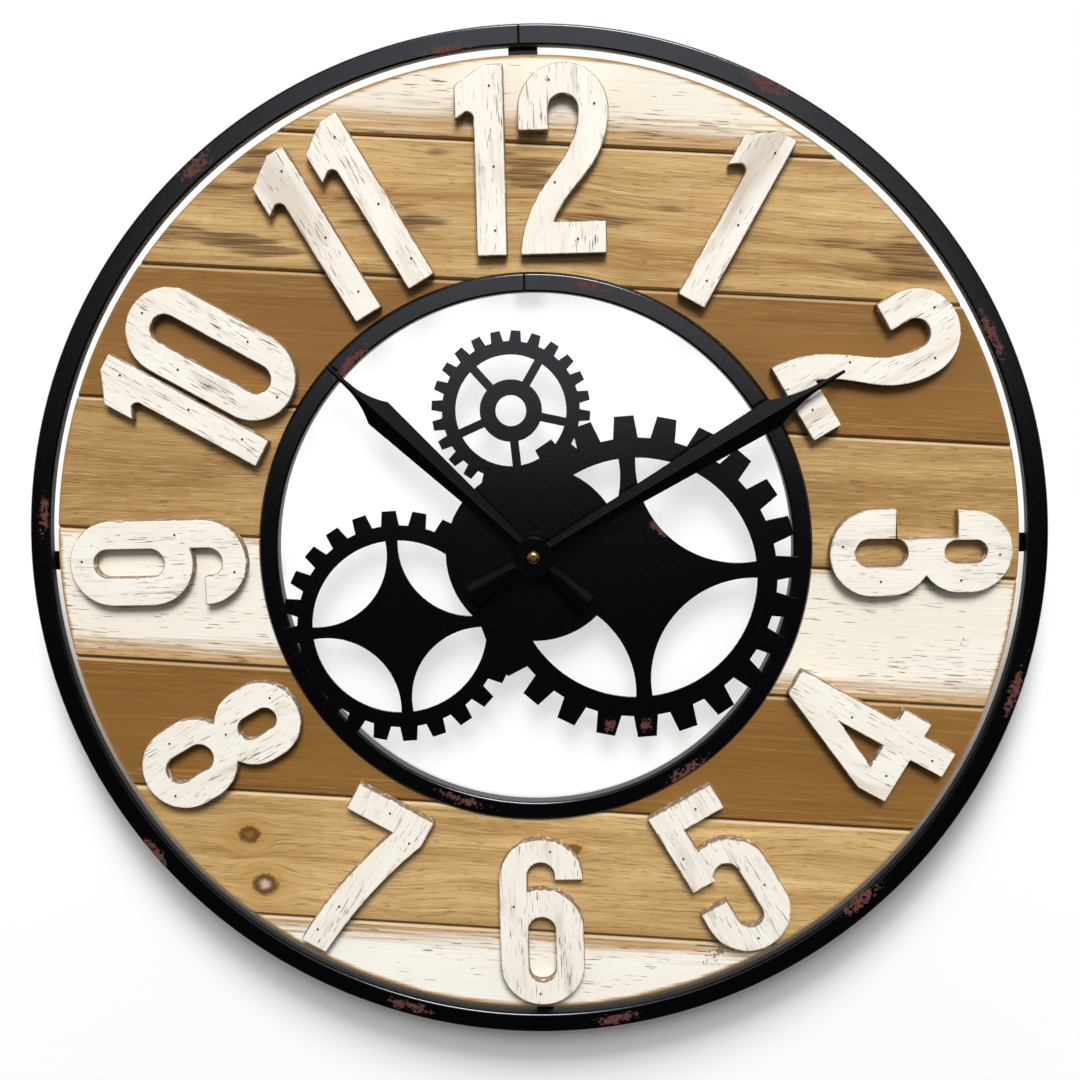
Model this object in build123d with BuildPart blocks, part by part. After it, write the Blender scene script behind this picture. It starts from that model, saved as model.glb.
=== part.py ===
from build123d import *
import os
from math import cos, radians, sin, sqrt

# Wooden gear wall clock: tilted planks and cut numerals in a steel rim, a gear plate and a two-hand movement.
# +X is three o'clock, +Z is twelve o'clock, the dial faces -Y and the origin lies on the hand axis.
# Lengths are millimetres and angles degrees. Depths run along Y, from low at the front to high at the back.

# Steel rim round the dial and ring round its open centre
RIM_OUTER_R = 300.0
RIM_WIDTH = 12.0
RIM_DEPTH = 8.0
RING_INNER_R = 151.5
RING_WIDTH = 11.0
RING_PROUD = 2.0
BAND_EDGE_R = 1.5

# Tongued planks, laid at a tilt
PLANK_FRONT = -1.0
PLANK_THICK = 8.0
PLANK_ROWS = 8
SPLIT_ROWS = (3, 4, 5, 6)
PLANK_SHARE = 0.26
PLANK_TILT = 4.3
PLANK_BEVEL = 1.8
TONGUE_THICK = 2.4
TONGUE_REACH = 3.0
TONGUE_PLAY = 0.15
RIM_GAP = 5.2
RING_GAP = 0.6

# Cut wooden numerals; a share is part of the digits' height
NUMERAL_THICK = 8.0
NUMERAL_MARGIN = 7.35
WIDTH_SHARE = 0.486
STROKE_SHARE = 0.164
CROWN_SHARE = 0.138
BOWL_CROWN_SHARE = 0.167
ONE_FLAG_SHARE = 0.1
UPPER_LOOP_SHARE = 0.457
DIGIT_GAPS = {10: 2.5, 11: 8.0, 12: 7.5}
UPRIGHT_HOURS = (4, 5, 6, 7, 8)
# Each numeral is set by hand, this far to the right of and above its even place on the dial
NUMERAL_SHIFTS = {
    1: (3.0, -1.0), 2: (3.0, -2.0), 3: (1.5, -2.5), 4: (-1.0, -2.0), 5: (-1.0, -2.5), 6: (-0.5, -2.5),
    7: (-0.5, -1.5), 8: (3.0, 0.0), 9: (1.5, -0.5), 10: (2.0, -4.0), 11: (5.0, -0.5), 12: (4.5, 1.5),
}

# Straps across the back, their plank screws and the hanger
STRAP_THICK = 2.5
STRAP_LAP = 8.0
STRAP_CORNER_R = 1.5
STRAP_WIDTHS = {"top": 16.5, "right": 11.0, "bottom": 10.5, "left": 11.0}
SCREW_R = 1.75
SCREW_PLAY = 0.1
SCREW_BITE = 5.0
SCREW_HEAD_R = 3.5
SCREW_HEAD_THICK = 2.0
SCREW_INNER_EDGE = 32.0
SCREW_OUTER_EDGE = 35.0
HANGER_THICK = 1.5
HANGER_STANDOFF = 10.5
HANGER_FLANGE = 9.0
HANGER_BRIDGE = 22.0
HANGER_HOLE_R = 4.0

# Gear plate: three gears and a disc in one sheet; the gears' sizes are hundredths of the ring's inner radius
GEAR_THICK = 1.5
GEAR_TEETH = 24
GEAR_ROOT_SHARE = 0.66
GEAR_TIP_SHARE = 0.45
LARGE_GEAR = {
    "x": 39.2, "z": -10.4, "tip": 63.2, "tooth": 8.45, "rim": 7.7, "spoke": 6.0, "waist": 20.7, "turn": 3.4,
}
LEFT_GEAR = {
    "x": -53.4, "z": -27.9, "tip": 45.9, "tooth": 5.7, "rim": 5.9, "spoke": 4.35, "waist": 15.0, "turn": 3.2,
}
SMALL_GEAR = {"x": -7.6, "z": 55.6, "tip": 30.4, "tooth": 4.0, "rim": 5.15, "spoke": 3.3, "turn": 10.0}
SMALL_HUB = 11.9
SMALL_HUB_HOLE = 5.9
SMALL_SPOKES = 5
SMALL_SPOKE_TURN = -85.0
GEAR_DISC = 34.3
# Metal left where the teeth of two gears cross: right of centre, above it, radius
GEAR_WEBS = ((-13.5, -42.5, 3.6), (-11.9, -33.0, 2.2), (13.1, 38.2, 1.2))

# Folded sheet hands
HAND_SHEET = 0.8
FOLD_RISE = 2.0
EYE_R = 11.4
EYE_THICK = 1.0
SHOULDER_WIDTH = 17.0
WAIST_WIDTH = 6.0
SPEAR_WIDTH = 3.6
TIP_WIDTH = 1.8
TAIL_WIDTH = 13.0
TAIL_REACH = 42.0
MINUTE_TIP_R = 206.0
MINUTE_NECK_R = 186.0
MINUTE_SHOULDER_R = 160.0
MINUTE_ANGLE = 60.0
HOUR_TIP_R = 162.0
HOUR_NECK_R = 141.0
HOUR_SHOULDER_R = 122.0
HOUR_ANGLE = -46.0
HOUR_STEM_GAP = 1.7
HANDS_GAP = 3.8
HAND_NUT_R = 3.7
HAND_NUT_HEIGHT = 3.0
HAND_NUT_ROUND = 2.0
HAND_NUT_BORE_R = 1.25
HAND_NUT_BORE_DEPTH = 1.9
HAND_BORE_PLAY = 0.02

# Movement case, its clamp on the gear plate and its battery
CASE_WIDTH = 56.0
CASE_TOP = 26.5
CASE_WALL = 1.5
CASE_ROOM_DEPTH = 14.0
CASE_CORNER_R = 3.0
PARTITION_DROP = 13.2
PARTITION_THICK = 1.3
STEM_R = 4.0
STEM_PROUD = 5.0
STEM_PLAY = 0.2
RUBBER_R = 9.0
RUBBER_THICK = 0.8
WASHER_R = 8.0
WASHER_THICK = 0.8
FIXING_NUT_FLATS = 12.0
FIXING_NUT_THICK = 2.5
THREAD_PLAY = 0.05
BATTERY_R = 7.1
BATTERY_LENGTH = 48.4
BATTERY_NUB_R = 2.7
BATTERY_NUB_LENGTH = 1.5
BATTERY_PLAY = 0.15
CONTACT_THICK = 0.4
CONTACT_WIDTH = 10.0
CONTACT_SPRING = 2.0

# Wheels of the movement
MINUTE_ARBOR_R = 1.75
HOUR_TUBE_R = 2.6
ARBOR_R = 0.6
PIVOT_R = 0.4
PIVOT_DEPTH = 1.0
RUNNING_PLAY = 0.05
WHEEL_THICK = 1.0
PINION_LENGTH = 1.6
WHEEL_FORM = {"addendum": 0.9, "dedendum": 1.2, "root_share": 0.50, "tip_share": 0.16}
PINION_FORM = {"addendum": 0.8, "dedendum": 1.3, "root_share": 0.42, "tip_share": 0.16}
TRAIN_LEAVES = 6
CENTRE_TEETH = 48
THIRD_TEETH = 45
SECONDS_TEETH = 36
INTERMEDIATE_TEETH = 30
CENTRE_MODULE = 0.5
TRAIN_MODULE = 0.45
MOTION_LEAVES = 8
MOTION_TEETH = 24
HOUR_TEETH = 32
MOTION_MODULE = 0.6
KNOB_LEAVES = 10
THIRD_BEARING = 140.0
SECONDS_BEARING = 40.0
INTERMEDIATE_BEARING = 0.0
ROTOR_BEARING = -60.0
MOTION_BEARING = 0.0
KNOB_BEARING = -60.0
HOUR_LAYER = 0.4
MOTION_LAYER = 2.0
TRAIN_LAYER = 4.4
LAYER_STEP = 2.0
KNOB_R = 5.5
KNOB_THICK = 3.0
KNOB_SHAFT_R = 0.9
KNOB_GAP = 0.4
KNOB_GRIPS = 20
KNOB_GRIP_DEPTH = 0.6

# Stepping motor and circuit board
MAGNET_R = 2.6
MAGNET_LENGTH = 2.5
STATOR_GAP = 0.7
STATOR_LAYER = 6.9
STATOR_THICK = 1.0
STATOR_WIDTH = 6.0
STATOR_TOP = 20.0
STATOR_BOTTOM = -7.0
STATOR_LEG = 3.0
COIL_X = 21.0
COIL_R = 4.0
COIL_LENGTH = 20.0
COIL_FLANGE = 0.8
CORE_WIDTH = 3.0
CORE_THICK = 1.0
POST_R = 1.5
BOARD_WIDTH = 13.0
BOARD_HEIGHT = 34.0
BOARD_THICK = 1.2
BOARD_LAYER = 10.7
BOARD_MARGIN = 1.0
BOARD_BOTTOM = -12.0

# Radii and depths that follow from the sizes above
RIM_INNER_R = RIM_OUTER_R - RIM_WIDTH
RING_OUTER_R = RING_INNER_R + RING_WIDTH
PLANK_OUTER_R = RIM_INNER_R - RIM_GAP
PLANK_INNER_R = RING_OUTER_R + RING_GAP
PLANK_WIDTH = RIM_OUTER_R * PLANK_SHARE
PLANK_BACK = PLANK_FRONT + PLANK_THICK
SCREW_ORBITS = (PLANK_INNER_R + SCREW_INNER_EDGE, PLANK_OUTER_R - SCREW_OUTER_EDGE)
RING_FRONT = PLANK_FRONT - RING_PROUD
STRAP_BACK = PLANK_BACK + STRAP_THICK
GEAR_FRONT = RING_FRONT - GEAR_THICK
STEM_FRONT = GEAR_FRONT - STEM_PROUD
HOUR_EYE_BACK = STEM_FRONT - HOUR_STEM_GAP
HOUR_EYE_FRONT = HOUR_EYE_BACK - EYE_THICK
MINUTE_EYE_BACK = HOUR_EYE_FRONT - HANDS_GAP
MINUTE_EYE_FRONT = MINUTE_EYE_BACK - EYE_THICK
CASE_FRONT = RING_FRONT + RUBBER_THICK
CASE_FLOOR = CASE_FRONT + CASE_WALL
CASE_BACK = CASE_FLOOR + CASE_ROOM_DEPTH
COVER_BACK = CASE_BACK + CASE_WALL
CASE_HALF = CASE_WIDTH / 2
ROOM_HALF = CASE_HALF - CASE_WALL
BAY_TOP = -PARTITION_DROP - PARTITION_THICK
BAY_HEIGHT = 2 * (BATTERY_R + BATTERY_PLAY)
BAY_BOTTOM = BAY_TOP - BAY_HEIGHT
CASE_BOTTOM = BAY_BOTTOM - CASE_WALL
BATTERY_Z = BAY_TOP - BAY_HEIGHT / 2
BATTERY_Y = CASE_FLOOR + BAY_HEIGHT / 2


def facing(depth, clock=0.0):
    """Plane square to the hand axis at a depth, its up direction turned clockwise to a clock angle."""
    turned = radians(clock)
    return Plane(origin=(0, depth, 0), x_dir=(cos(turned), 0, -sin(turned)), z_dir=(0, -1, 0))


def stepped(start, distance, bearing):
    """Point at a distance and bearing from another, counterclockwise from three o'clock."""
    return (start[0] + distance * cos(radians(bearing)), start[1] + distance * sin(radians(bearing)))


def save(piece, name):
    """Label a finished piece and write it as its own file."""
    piece.part.label = name
    export_step(piece.part, f"parts/{name}.step")


def toothed(teeth, root, tip, root_share, tip_share, turn=0.0):
    """Toothed outline about the origin; the shares are each tooth's part of its pitch at root and tip."""
    pitch = 360 / teeth
    corners = []
    for tooth in range(teeth):
        middle = turn + tooth * pitch
        for radius, share in ((root, -root_share), (tip, -tip_share), (tip, tip_share), (root, root_share)):
            corners.append(stepped((0, 0), radius, middle + share * pitch / 2))
    with BuildSketch() as outline:
        with BuildLine():
            Polyline(*corners, close=True)
        make_face()
    return outline.sketch


def cog(teeth, module, form, turn):
    """Toothed outline of a movement wheel or pinion."""
    root = module * (teeth / 2 - form["dedendum"])
    tip = module * (teeth / 2 + form["addendum"])
    return toothed(teeth, root, tip, form["root_share"], form["tip_share"], turn)


def meshed_turn(teeth, turn, bearing, mate_teeth):
    """Turn of a mating wheel, seen along a bearing, that puts its gap over the first wheel's tooth."""
    past_tooth = (bearing - turn) * teeth / 360 % 1
    return bearing + 180 + (past_tooth + 0.5) * 360 / mate_teeth


os.makedirs("parts", exist_ok=True)


# Outer rim and inner ring: rolled bands with rounded edges, their backs level with the planks
def band(inner_r, width, front, back):
    """Ring of rectangular section about the hand axis."""
    with BuildPart() as ring:
        with BuildSketch(Plane.XY):
            with Locations((inner_r + width / 2, (front + back) / 2)):
                RectangleRounded(width, back - front, BAND_EDGE_R)
        revolve(axis=Axis.Y)
    return ring


save(band(RIM_INNER_R, RIM_WIDTH, PLANK_BACK - RIM_DEPTH, PLANK_BACK), "outer_rim")
save(band(RING_INNER_R, RING_WIDTH, RING_FRONT, PLANK_BACK), "inner_ring")


# Planks: a bevelled tongue-and-groove section, cut to the ring shape and drilled for the strap screws
PLANK_PLANE = Plane(
    origin=(0, 0, 0),
    x_dir=(sin(radians(PLANK_TILT)), 0, cos(radians(PLANK_TILT))),
    z_dir=(cos(radians(PLANK_TILT)), 0, -sin(radians(PLANK_TILT))),
)


def plank_section(low, high):
    """Section between two joint lines: heights across the plank, depths turned so that front is up."""
    front, back, middle = -PLANK_FRONT, -PLANK_BACK, -(PLANK_FRONT + PLANK_BACK) / 2
    tongue = TONGUE_THICK / 2
    groove = tongue + TONGUE_PLAY
    groove_end = low + TONGUE_REACH + TONGUE_PLAY
    with BuildSketch(PLANK_PLANE) as section:
        with BuildLine():
            Polyline(
                (low, back), (low, middle - groove), (groove_end, middle - groove),
                (groove_end, middle + groove), (low, middle + groove), (low, front - PLANK_BEVEL),
                (low + PLANK_BEVEL, front), (high - PLANK_BEVEL, front), (high, front - PLANK_BEVEL),
                (high, middle + tongue), (high + TONGUE_REACH, middle + tongue),
                (high + TONGUE_REACH, middle - tongue), (high, middle - tongue), (high, back), close=True,
            )
        make_face()
    return section.sketch


def plank(low, high, side=None):
    """One plank, or the piece of it left or right of the round opening."""
    with BuildPart() as piece:
        extrude(plank_section(low, high), amount=PLANK_OUTER_R, both=True)
        with BuildSketch(facing(PLANK_BACK)):
            Circle(PLANK_OUTER_R)
            Circle(PLANK_INNER_R, mode=Mode.SUBTRACT)
        extrude(amount=PLANK_THICK, mode=Mode.INTERSECT)
        if side:
            split(bisect_by=Plane.YZ, keep=Keep.TOP if side == "right" else Keep.BOTTOM)
        with BuildSketch(facing(PLANK_BACK)):
            for orbit in SCREW_ORBITS:
                with PolarLocations(orbit, len(STRAP_WIDTHS)):
                    Circle(SCREW_R)
        extrude(amount=SCREW_BITE, mode=Mode.SUBTRACT)
    return piece


for row in range(1, PLANK_ROWS + 1):
    lower = (PLANK_ROWS / 2 - row) * PLANK_WIDTH
    upper = lower + PLANK_WIDTH
    if row in SPLIT_ROWS:
        for side in ("left", "right"):
            save(plank(lower, upper, side), f"plank_{row}_{side}")
    else:
        save(plank(lower, upper), f"plank_{row}")


# Numerals: condensed digits sawn from board, drawn on a grid of hundredths of their height
NUMERAL_R = (PLANK_OUTER_R + PLANK_INNER_R) / 2
DIGIT_HEIGHT = PLANK_OUTER_R - PLANK_INNER_R - 2 * NUMERAL_MARGIN
GRID = DIGIT_HEIGHT / 100
DIGIT_WIDTH = DIGIT_HEIGHT * WIDTH_SHARE
DIGIT_STROKE = DIGIT_HEIGHT * STROKE_SHARE
DIGIT_CROWN = DIGIT_HEIGHT * CROWN_SHARE
BOWL_CROWN = DIGIT_HEIGHT * BOWL_CROWN_SHARE
ONE_FLAG = DIGIT_HEIGHT * ONE_FLAG_SHARE
UPPER_LOOP_WIDTH = DIGIT_HEIGHT * UPPER_LOOP_SHARE
HALF_HEIGHT = DIGIT_HEIGHT / 2
HALF_WIDTH = DIGIT_WIDTH / 2
COUNTER_HALF = HALF_WIDTH - DIGIT_STROKE
LOWER_LOOP_TOP = 6.7 * GRID
UPPER_LOOP_BOTTOM = -GRID
BOWL_TOP = 20 * GRID


def loop(bottom, top, width=DIGIT_WIDTH, top_crown=DIGIT_CROWN):
    """Upright oval loop with its counter cut out."""
    counter_bottom = bottom + DIGIT_CROWN
    counter_top = top - top_crown
    with BuildSketch() as oval:
        with Locations((0, (bottom + top) / 2)):
            SlotOverall(top - bottom, width, rotation=90)
        with Locations((0, (counter_bottom + counter_top) / 2)):
            SlotOverall(
                counter_top - counter_bottom, width - 2 * DIGIT_STROKE, rotation=90, mode=Mode.SUBTRACT
            )
    return oval.sketch


def block(left, bottom, right, top, mode=Mode.ADD):
    """Rectangle between two corners, in the sketch at hand."""
    with Locations(((left + right) / 2, (bottom + top) / 2)):
        Rectangle(right - left, top - bottom, mode=mode)


def outline_face(points):
    """Face inside a straight-edged outline."""
    with BuildSketch() as face:
        with BuildLine():
            Polyline(*points, close=True)
        make_face()
    return face.sketch


def digit_one():
    """Stem with a hooked flag on its left."""
    right = (DIGIT_STROKE + ONE_FLAG) / 2
    stem = right - DIGIT_STROKE
    flag = -right
    flag_low = HALF_HEIGHT - 28.5 * GRID
    hook = (stem - 4 * GRID, flag_low + 4 * GRID)
    with BuildSketch() as digit:
        with BuildLine():
            Polyline(
                (stem, flag_low), (stem, -HALF_HEIGHT), (right, -HALF_HEIGHT), (right, HALF_HEIGHT),
                (stem + 6 * GRID, HALF_HEIGHT), (flag, HALF_HEIGHT - 10.5 * GRID), (flag, flag_low), hook,
            )
            ThreePointArc(hook, (stem - GRID, flag_low + 3 * GRID), (stem, flag_low))
        make_face()
    return digit.sketch


def digit_two():
    """Round head, curved neck and flat foot."""
    bowl = HALF_HEIGHT - HALF_WIDTH
    foot_top = DIGIT_STROKE + GRID - HALF_HEIGHT
    foot_right = HALF_WIDTH - 2 * GRID
    hook = HALF_HEIGHT - 35 * GRID
    notch = -5.7 * GRID
    outer_bend = (15.2 * GRID, -3.3 * GRID)
    inner_bend = (-2.9 * GRID, -2.9 * GRID)
    with BuildSketch() as digit:
        with BuildLine():
            Polyline((-COUNTER_HALF, bowl), (-COUNTER_HALF, hook), (-HALF_WIDTH, hook), (-HALF_WIDTH, bowl))
            ThreePointArc((-HALF_WIDTH, bowl), (0, HALF_HEIGHT), (HALF_WIDTH, bowl))
            Spline((HALF_WIDTH, bowl), outer_bend, (notch, foot_top), tangents=((0, -1), (-0.4, -1)))
            Polyline(
                (notch, foot_top), (foot_right, foot_top),
                (foot_right, -HALF_HEIGHT), (-HALF_WIDTH, -HALF_HEIGHT),
            )
            Spline(
                (-HALF_WIDTH, -HALF_HEIGHT), inner_bend, (COUNTER_HALF, bowl),
                tangents=((0.05, 1), (0, 1)),
            )
            ThreePointArc((COUNTER_HALF, bowl), (0, bowl + COUNTER_HALF), (-COUNTER_HALF, bowl))
        make_face()
    return digit.sketch


def digit_eight():
    """Small loop on a larger one."""
    with BuildSketch() as digit:
        add(loop(-HALF_HEIGHT, LOWER_LOOP_TOP))
        add(loop(UPPER_LOOP_BOTTOM, HALF_HEIGHT, UPPER_LOOP_WIDTH))
    return digit.sketch


def digit_three():
    """The two loops of an eight, opened on the left beside the middle arm."""
    with BuildSketch() as digit:
        add(digit_eight())
        block(-DIGIT_WIDTH, -13.8 * GRID, -COUNTER_HALF, 20 * GRID, mode=Mode.SUBTRACT)
    return digit.sketch


def digit_four():
    """Stem, crossbar and slanting arm round a triangle."""
    stem_left = 2 * GRID
    stem_right = stem_left + DIGIT_STROKE - GRID / 2
    bar_low = 20.5 * GRID - HALF_HEIGHT
    bar_high = bar_low + DIGIT_STROKE + 1.5 * GRID
    reach = HALF_WIDTH + 1.6 * GRID
    with BuildSketch() as digit:
        add(outline_face([
            (stem_left, -HALF_HEIGHT), (stem_right, -HALF_HEIGHT), (stem_right, bar_low), (reach, bar_low),
            (reach, bar_high), (stem_right, bar_high), (stem_right, HALF_HEIGHT), (stem_left, HALF_HEIGHT),
            (-reach, bar_high), (-reach, bar_low), (stem_left, bar_low),
        ]))
        peak = HALF_HEIGHT - 34.3 * GRID
        triangle = [(stem_left, peak), (stem_left, bar_high), (stem_left - 13.7 * GRID, bar_high)]
        add(outline_face(triangle), mode=Mode.SUBTRACT)
    return digit.sketch


def digit_five():
    """Bar and stem over an open bowl."""
    stem_left = 3 * GRID - HALF_WIDTH
    stem_right = stem_left + DIGIT_STROKE - 2 * GRID
    bar_low = HALF_HEIGHT - DIGIT_STROKE + GRID
    with BuildSketch() as digit:
        add(loop(-HALF_HEIGHT, BOWL_TOP))
        block(-DIGIT_WIDTH, -14.8 * GRID, -COUNTER_HALF, HALF_HEIGHT, mode=Mode.SUBTRACT)
        block(stem_left, bar_low, HALF_WIDTH - 5.2 * GRID, HALF_HEIGHT)
        block(stem_left, -GRID / 2, stem_right, HALF_HEIGHT)
    return digit.sketch


def digit_six():
    """Closed bowl under a hooked stem."""
    with BuildSketch() as digit:
        add(loop(-HALF_HEIGHT, HALF_HEIGHT))
        block(-COUNTER_HALF, -HALF_HEIGHT, DIGIT_WIDTH, 25.7 * GRID, mode=Mode.SUBTRACT)
        add(loop(-HALF_HEIGHT, BOWL_TOP, top_crown=BOWL_CROWN))
    return digit.sketch


def digit_seven():
    """Flat bar with a curved leg."""
    bar_low = HALF_HEIGHT - DIGIT_STROKE - GRID / 2
    foot_left = -10.5 * GRID
    foot_right = foot_left + DIGIT_STROKE
    elbow = (5.7 * GRID, bar_low)
    shoulder = (HALF_WIDTH, bar_low + GRID)
    with BuildSketch() as digit:
        with BuildLine():
            Polyline(
                elbow, (-HALF_WIDTH, bar_low), (-HALF_WIDTH, HALF_HEIGHT), (HALF_WIDTH, HALF_HEIGHT), shoulder
            )
            ThreePointArc(shoulder, (11.9 * GRID, -7.6 * GRID), (foot_right, -HALF_HEIGHT))
            Line((foot_right, -HALF_HEIGHT), (foot_left, -HALF_HEIGHT))
            ThreePointArc((foot_left, -HALF_HEIGHT), (-4.6 * GRID, -2.9 * GRID), elbow)
        make_face()
    return digit.sketch


def digit_nine():
    """A six turned upside down."""
    with BuildSketch() as digit:
        add(digit_six(), rotation=180)
    return digit.sketch


DIGITS = {
    "0": loop(-HALF_HEIGHT, HALF_HEIGHT), "1": digit_one(), "2": digit_two(), "3": digit_three(),
    "4": digit_four(), "5": digit_five(), "6": digit_six(), "7": digit_seven(), "8": digit_eight(),
    "9": digit_nine(),
}
for hour in range(1, 13):
    widths = [ONE_FLAG + DIGIT_STROKE if digit == "1" else DIGIT_WIDTH for digit in str(hour)]
    gap = DIGIT_GAPS.get(hour, 0)
    left = -(sum(widths) + gap * (len(widths) - 1)) / 2
    with BuildSketch() as figures:
        for digit, width in zip(str(hour), widths):
            with Locations((left + width / 2, 0)):
                add(DIGITS[digit])
            left += width + gap
    even_place = stepped((0, 0), NUMERAL_R, 90 - hour * 30)
    shift = NUMERAL_SHIFTS[hour]
    turn = 180 - hour * 30 if hour in UPRIGHT_HOURS else -hour * 30
    with BuildPart() as numeral:
        with BuildSketch(facing(PLANK_FRONT)):
            with Locations((even_place[0] + shift[0], even_place[1] + shift[1])):
                add(figures.sketch, rotation=turn)
        extrude(amount=NUMERAL_THICK)
    save(numeral, f"numeral_{hour}")


# Straps from ring to rim across the back of the planks, with holes for the plank screws
STRAP_IN = RING_INNER_R + (RING_WIDTH - STRAP_LAP) / 2
STRAP_OUT = RIM_INNER_R + STRAP_LAP
for quarter, (place, width) in enumerate(STRAP_WIDTHS.items()):
    with BuildPart() as strap:
        with BuildSketch(facing(STRAP_BACK, quarter * 90)):
            with Locations((0, (STRAP_IN + STRAP_OUT) / 2)):
                RectangleRounded(width, STRAP_OUT - STRAP_IN, STRAP_CORNER_R)
            with Locations(*[(0, orbit) for orbit in SCREW_ORBITS]):
                Circle(SCREW_R + SCREW_PLAY, mode=Mode.SUBTRACT)
        extrude(amount=STRAP_THICK)
    save(strap, f"strap_{place}")

with BuildPart() as plank_screws:
    for depth, radius, length in (
        (STRAP_BACK + SCREW_HEAD_THICK, SCREW_HEAD_R, SCREW_HEAD_THICK),
        (STRAP_BACK, SCREW_R, STRAP_THICK + SCREW_BITE),
    ):
        with BuildSketch(facing(depth)):
            for orbit in SCREW_ORBITS:
                with PolarLocations(orbit, len(STRAP_WIDTHS)):
                    Circle(radius)
        extrude(amount=length)
save(plank_screws, "plank_screws")

# Hanger: a bridge of bent strip on the back of the top strap, with the wall hook's hole in it
HANGER_BACK = STRAP_BACK + HANGER_STANDOFF
HANGER_Z = STRAP_OUT - HANGER_FLANGE - HANGER_BRIDGE / 2
with BuildPart() as hanger:
    with BuildSketch(Plane.YZ):
        with Locations(((STRAP_BACK + HANGER_BACK) / 2, HANGER_Z)):
            Rectangle(HANGER_STANDOFF, HANGER_BRIDGE)
        with Locations((STRAP_BACK + HANGER_THICK / 2, HANGER_Z)):
            Rectangle(HANGER_THICK, HANGER_BRIDGE + 2 * HANGER_FLANGE)
        with Locations((STRAP_BACK + (HANGER_STANDOFF - HANGER_THICK) / 2, HANGER_Z)):
            Rectangle(HANGER_STANDOFF - HANGER_THICK, HANGER_BRIDGE - 2 * HANGER_THICK, mode=Mode.SUBTRACT)
    extrude(amount=STRAP_WIDTHS["top"] / 2, both=True)
    bends = hanger.edges().filter_by(Axis.X).group_by(Axis.Y)[-1]
    fillet(bends, radius=HANGER_THICK)
    with BuildSketch(facing(HANGER_BACK)):
        with Locations((0, HANGER_Z)):
            Circle(HANGER_HOLE_R)
    extrude(amount=HANGER_THICK, mode=Mode.SUBTRACT)
save(hanger, "hanger")


# Gear plate: the gears' windows are cut before the gears and the disc are joined into one sheet
PLATE_GRID = RING_INNER_R / 100


def sized(gear):
    """A gear's sizes in millimetres; its turn stays in degrees."""
    return {name: value if name == "turn" else value * PLATE_GRID for name, value in gear.items()}


def gear_blank(gear):
    """Toothed blank of one gear."""
    return toothed(
        GEAR_TEETH, gear["tip"] - gear["tooth"], gear["tip"], GEAR_ROOT_SHARE, GEAR_TIP_SHARE, gear["turn"]
    )


def window_radius(gear):
    """Inside radius of a gear's rim."""
    return gear["tip"] - gear["tooth"] - gear["rim"]


def leaf_gear(gear):
    """Gear with four leaf windows; each inner edge is an arc that narrows the spokes towards the rim."""
    arc_centre = (gear["waist"] - gear["spoke"] / 2) / (sqrt(2) - 1)
    with BuildSketch() as leaf:
        Circle(window_radius(gear))
        with Locations((arc_centre, arc_centre)):
            Circle(arc_centre - gear["spoke"] / 2, mode=Mode.INTERSECT)
    with BuildSketch() as plate:
        add(gear_blank(gear))
        with PolarLocations(0, 4, start_angle=gear["turn"]):
            add(leaf.sketch, mode=Mode.SUBTRACT)
    return plate.sketch


def spoke_gear(gear):
    """Gear with straight spokes between a round hub and the rim."""
    with BuildSketch() as windows:
        Circle(window_radius(gear))
        Circle(SMALL_HUB * PLATE_GRID, mode=Mode.SUBTRACT)
        with PolarLocations(0, SMALL_SPOKES, start_angle=SMALL_SPOKE_TURN):
            Rectangle(gear["tip"], gear["spoke"], align=(Align.MIN, Align.CENTER), mode=Mode.SUBTRACT)
        Circle(SMALL_HUB_HOLE * PLATE_GRID)
    with BuildSketch() as plate:
        add(gear_blank(gear))
        add(windows.sketch, mode=Mode.SUBTRACT)
    return plate.sketch


with BuildPart() as gear_plate:
    with BuildSketch(facing(RING_FRONT)):
        for gear, cut in ((LARGE_GEAR, leaf_gear), (LEFT_GEAR, leaf_gear), (SMALL_GEAR, spoke_gear)):
            with Locations((gear["x"] * PLATE_GRID, gear["z"] * PLATE_GRID)):
                add(cut(sized(gear)))
        Circle(GEAR_DISC * PLATE_GRID)
        for x, z, radius in GEAR_WEBS:
            with Locations((x * PLATE_GRID, z * PLATE_GRID)):
                Circle(radius * PLATE_GRID)
        Circle(STEM_R + STEM_PLAY, mode=Mode.SUBTRACT)
    extrude(amount=GEAR_THICK)
save(gear_plate, "gear_plate")


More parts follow.
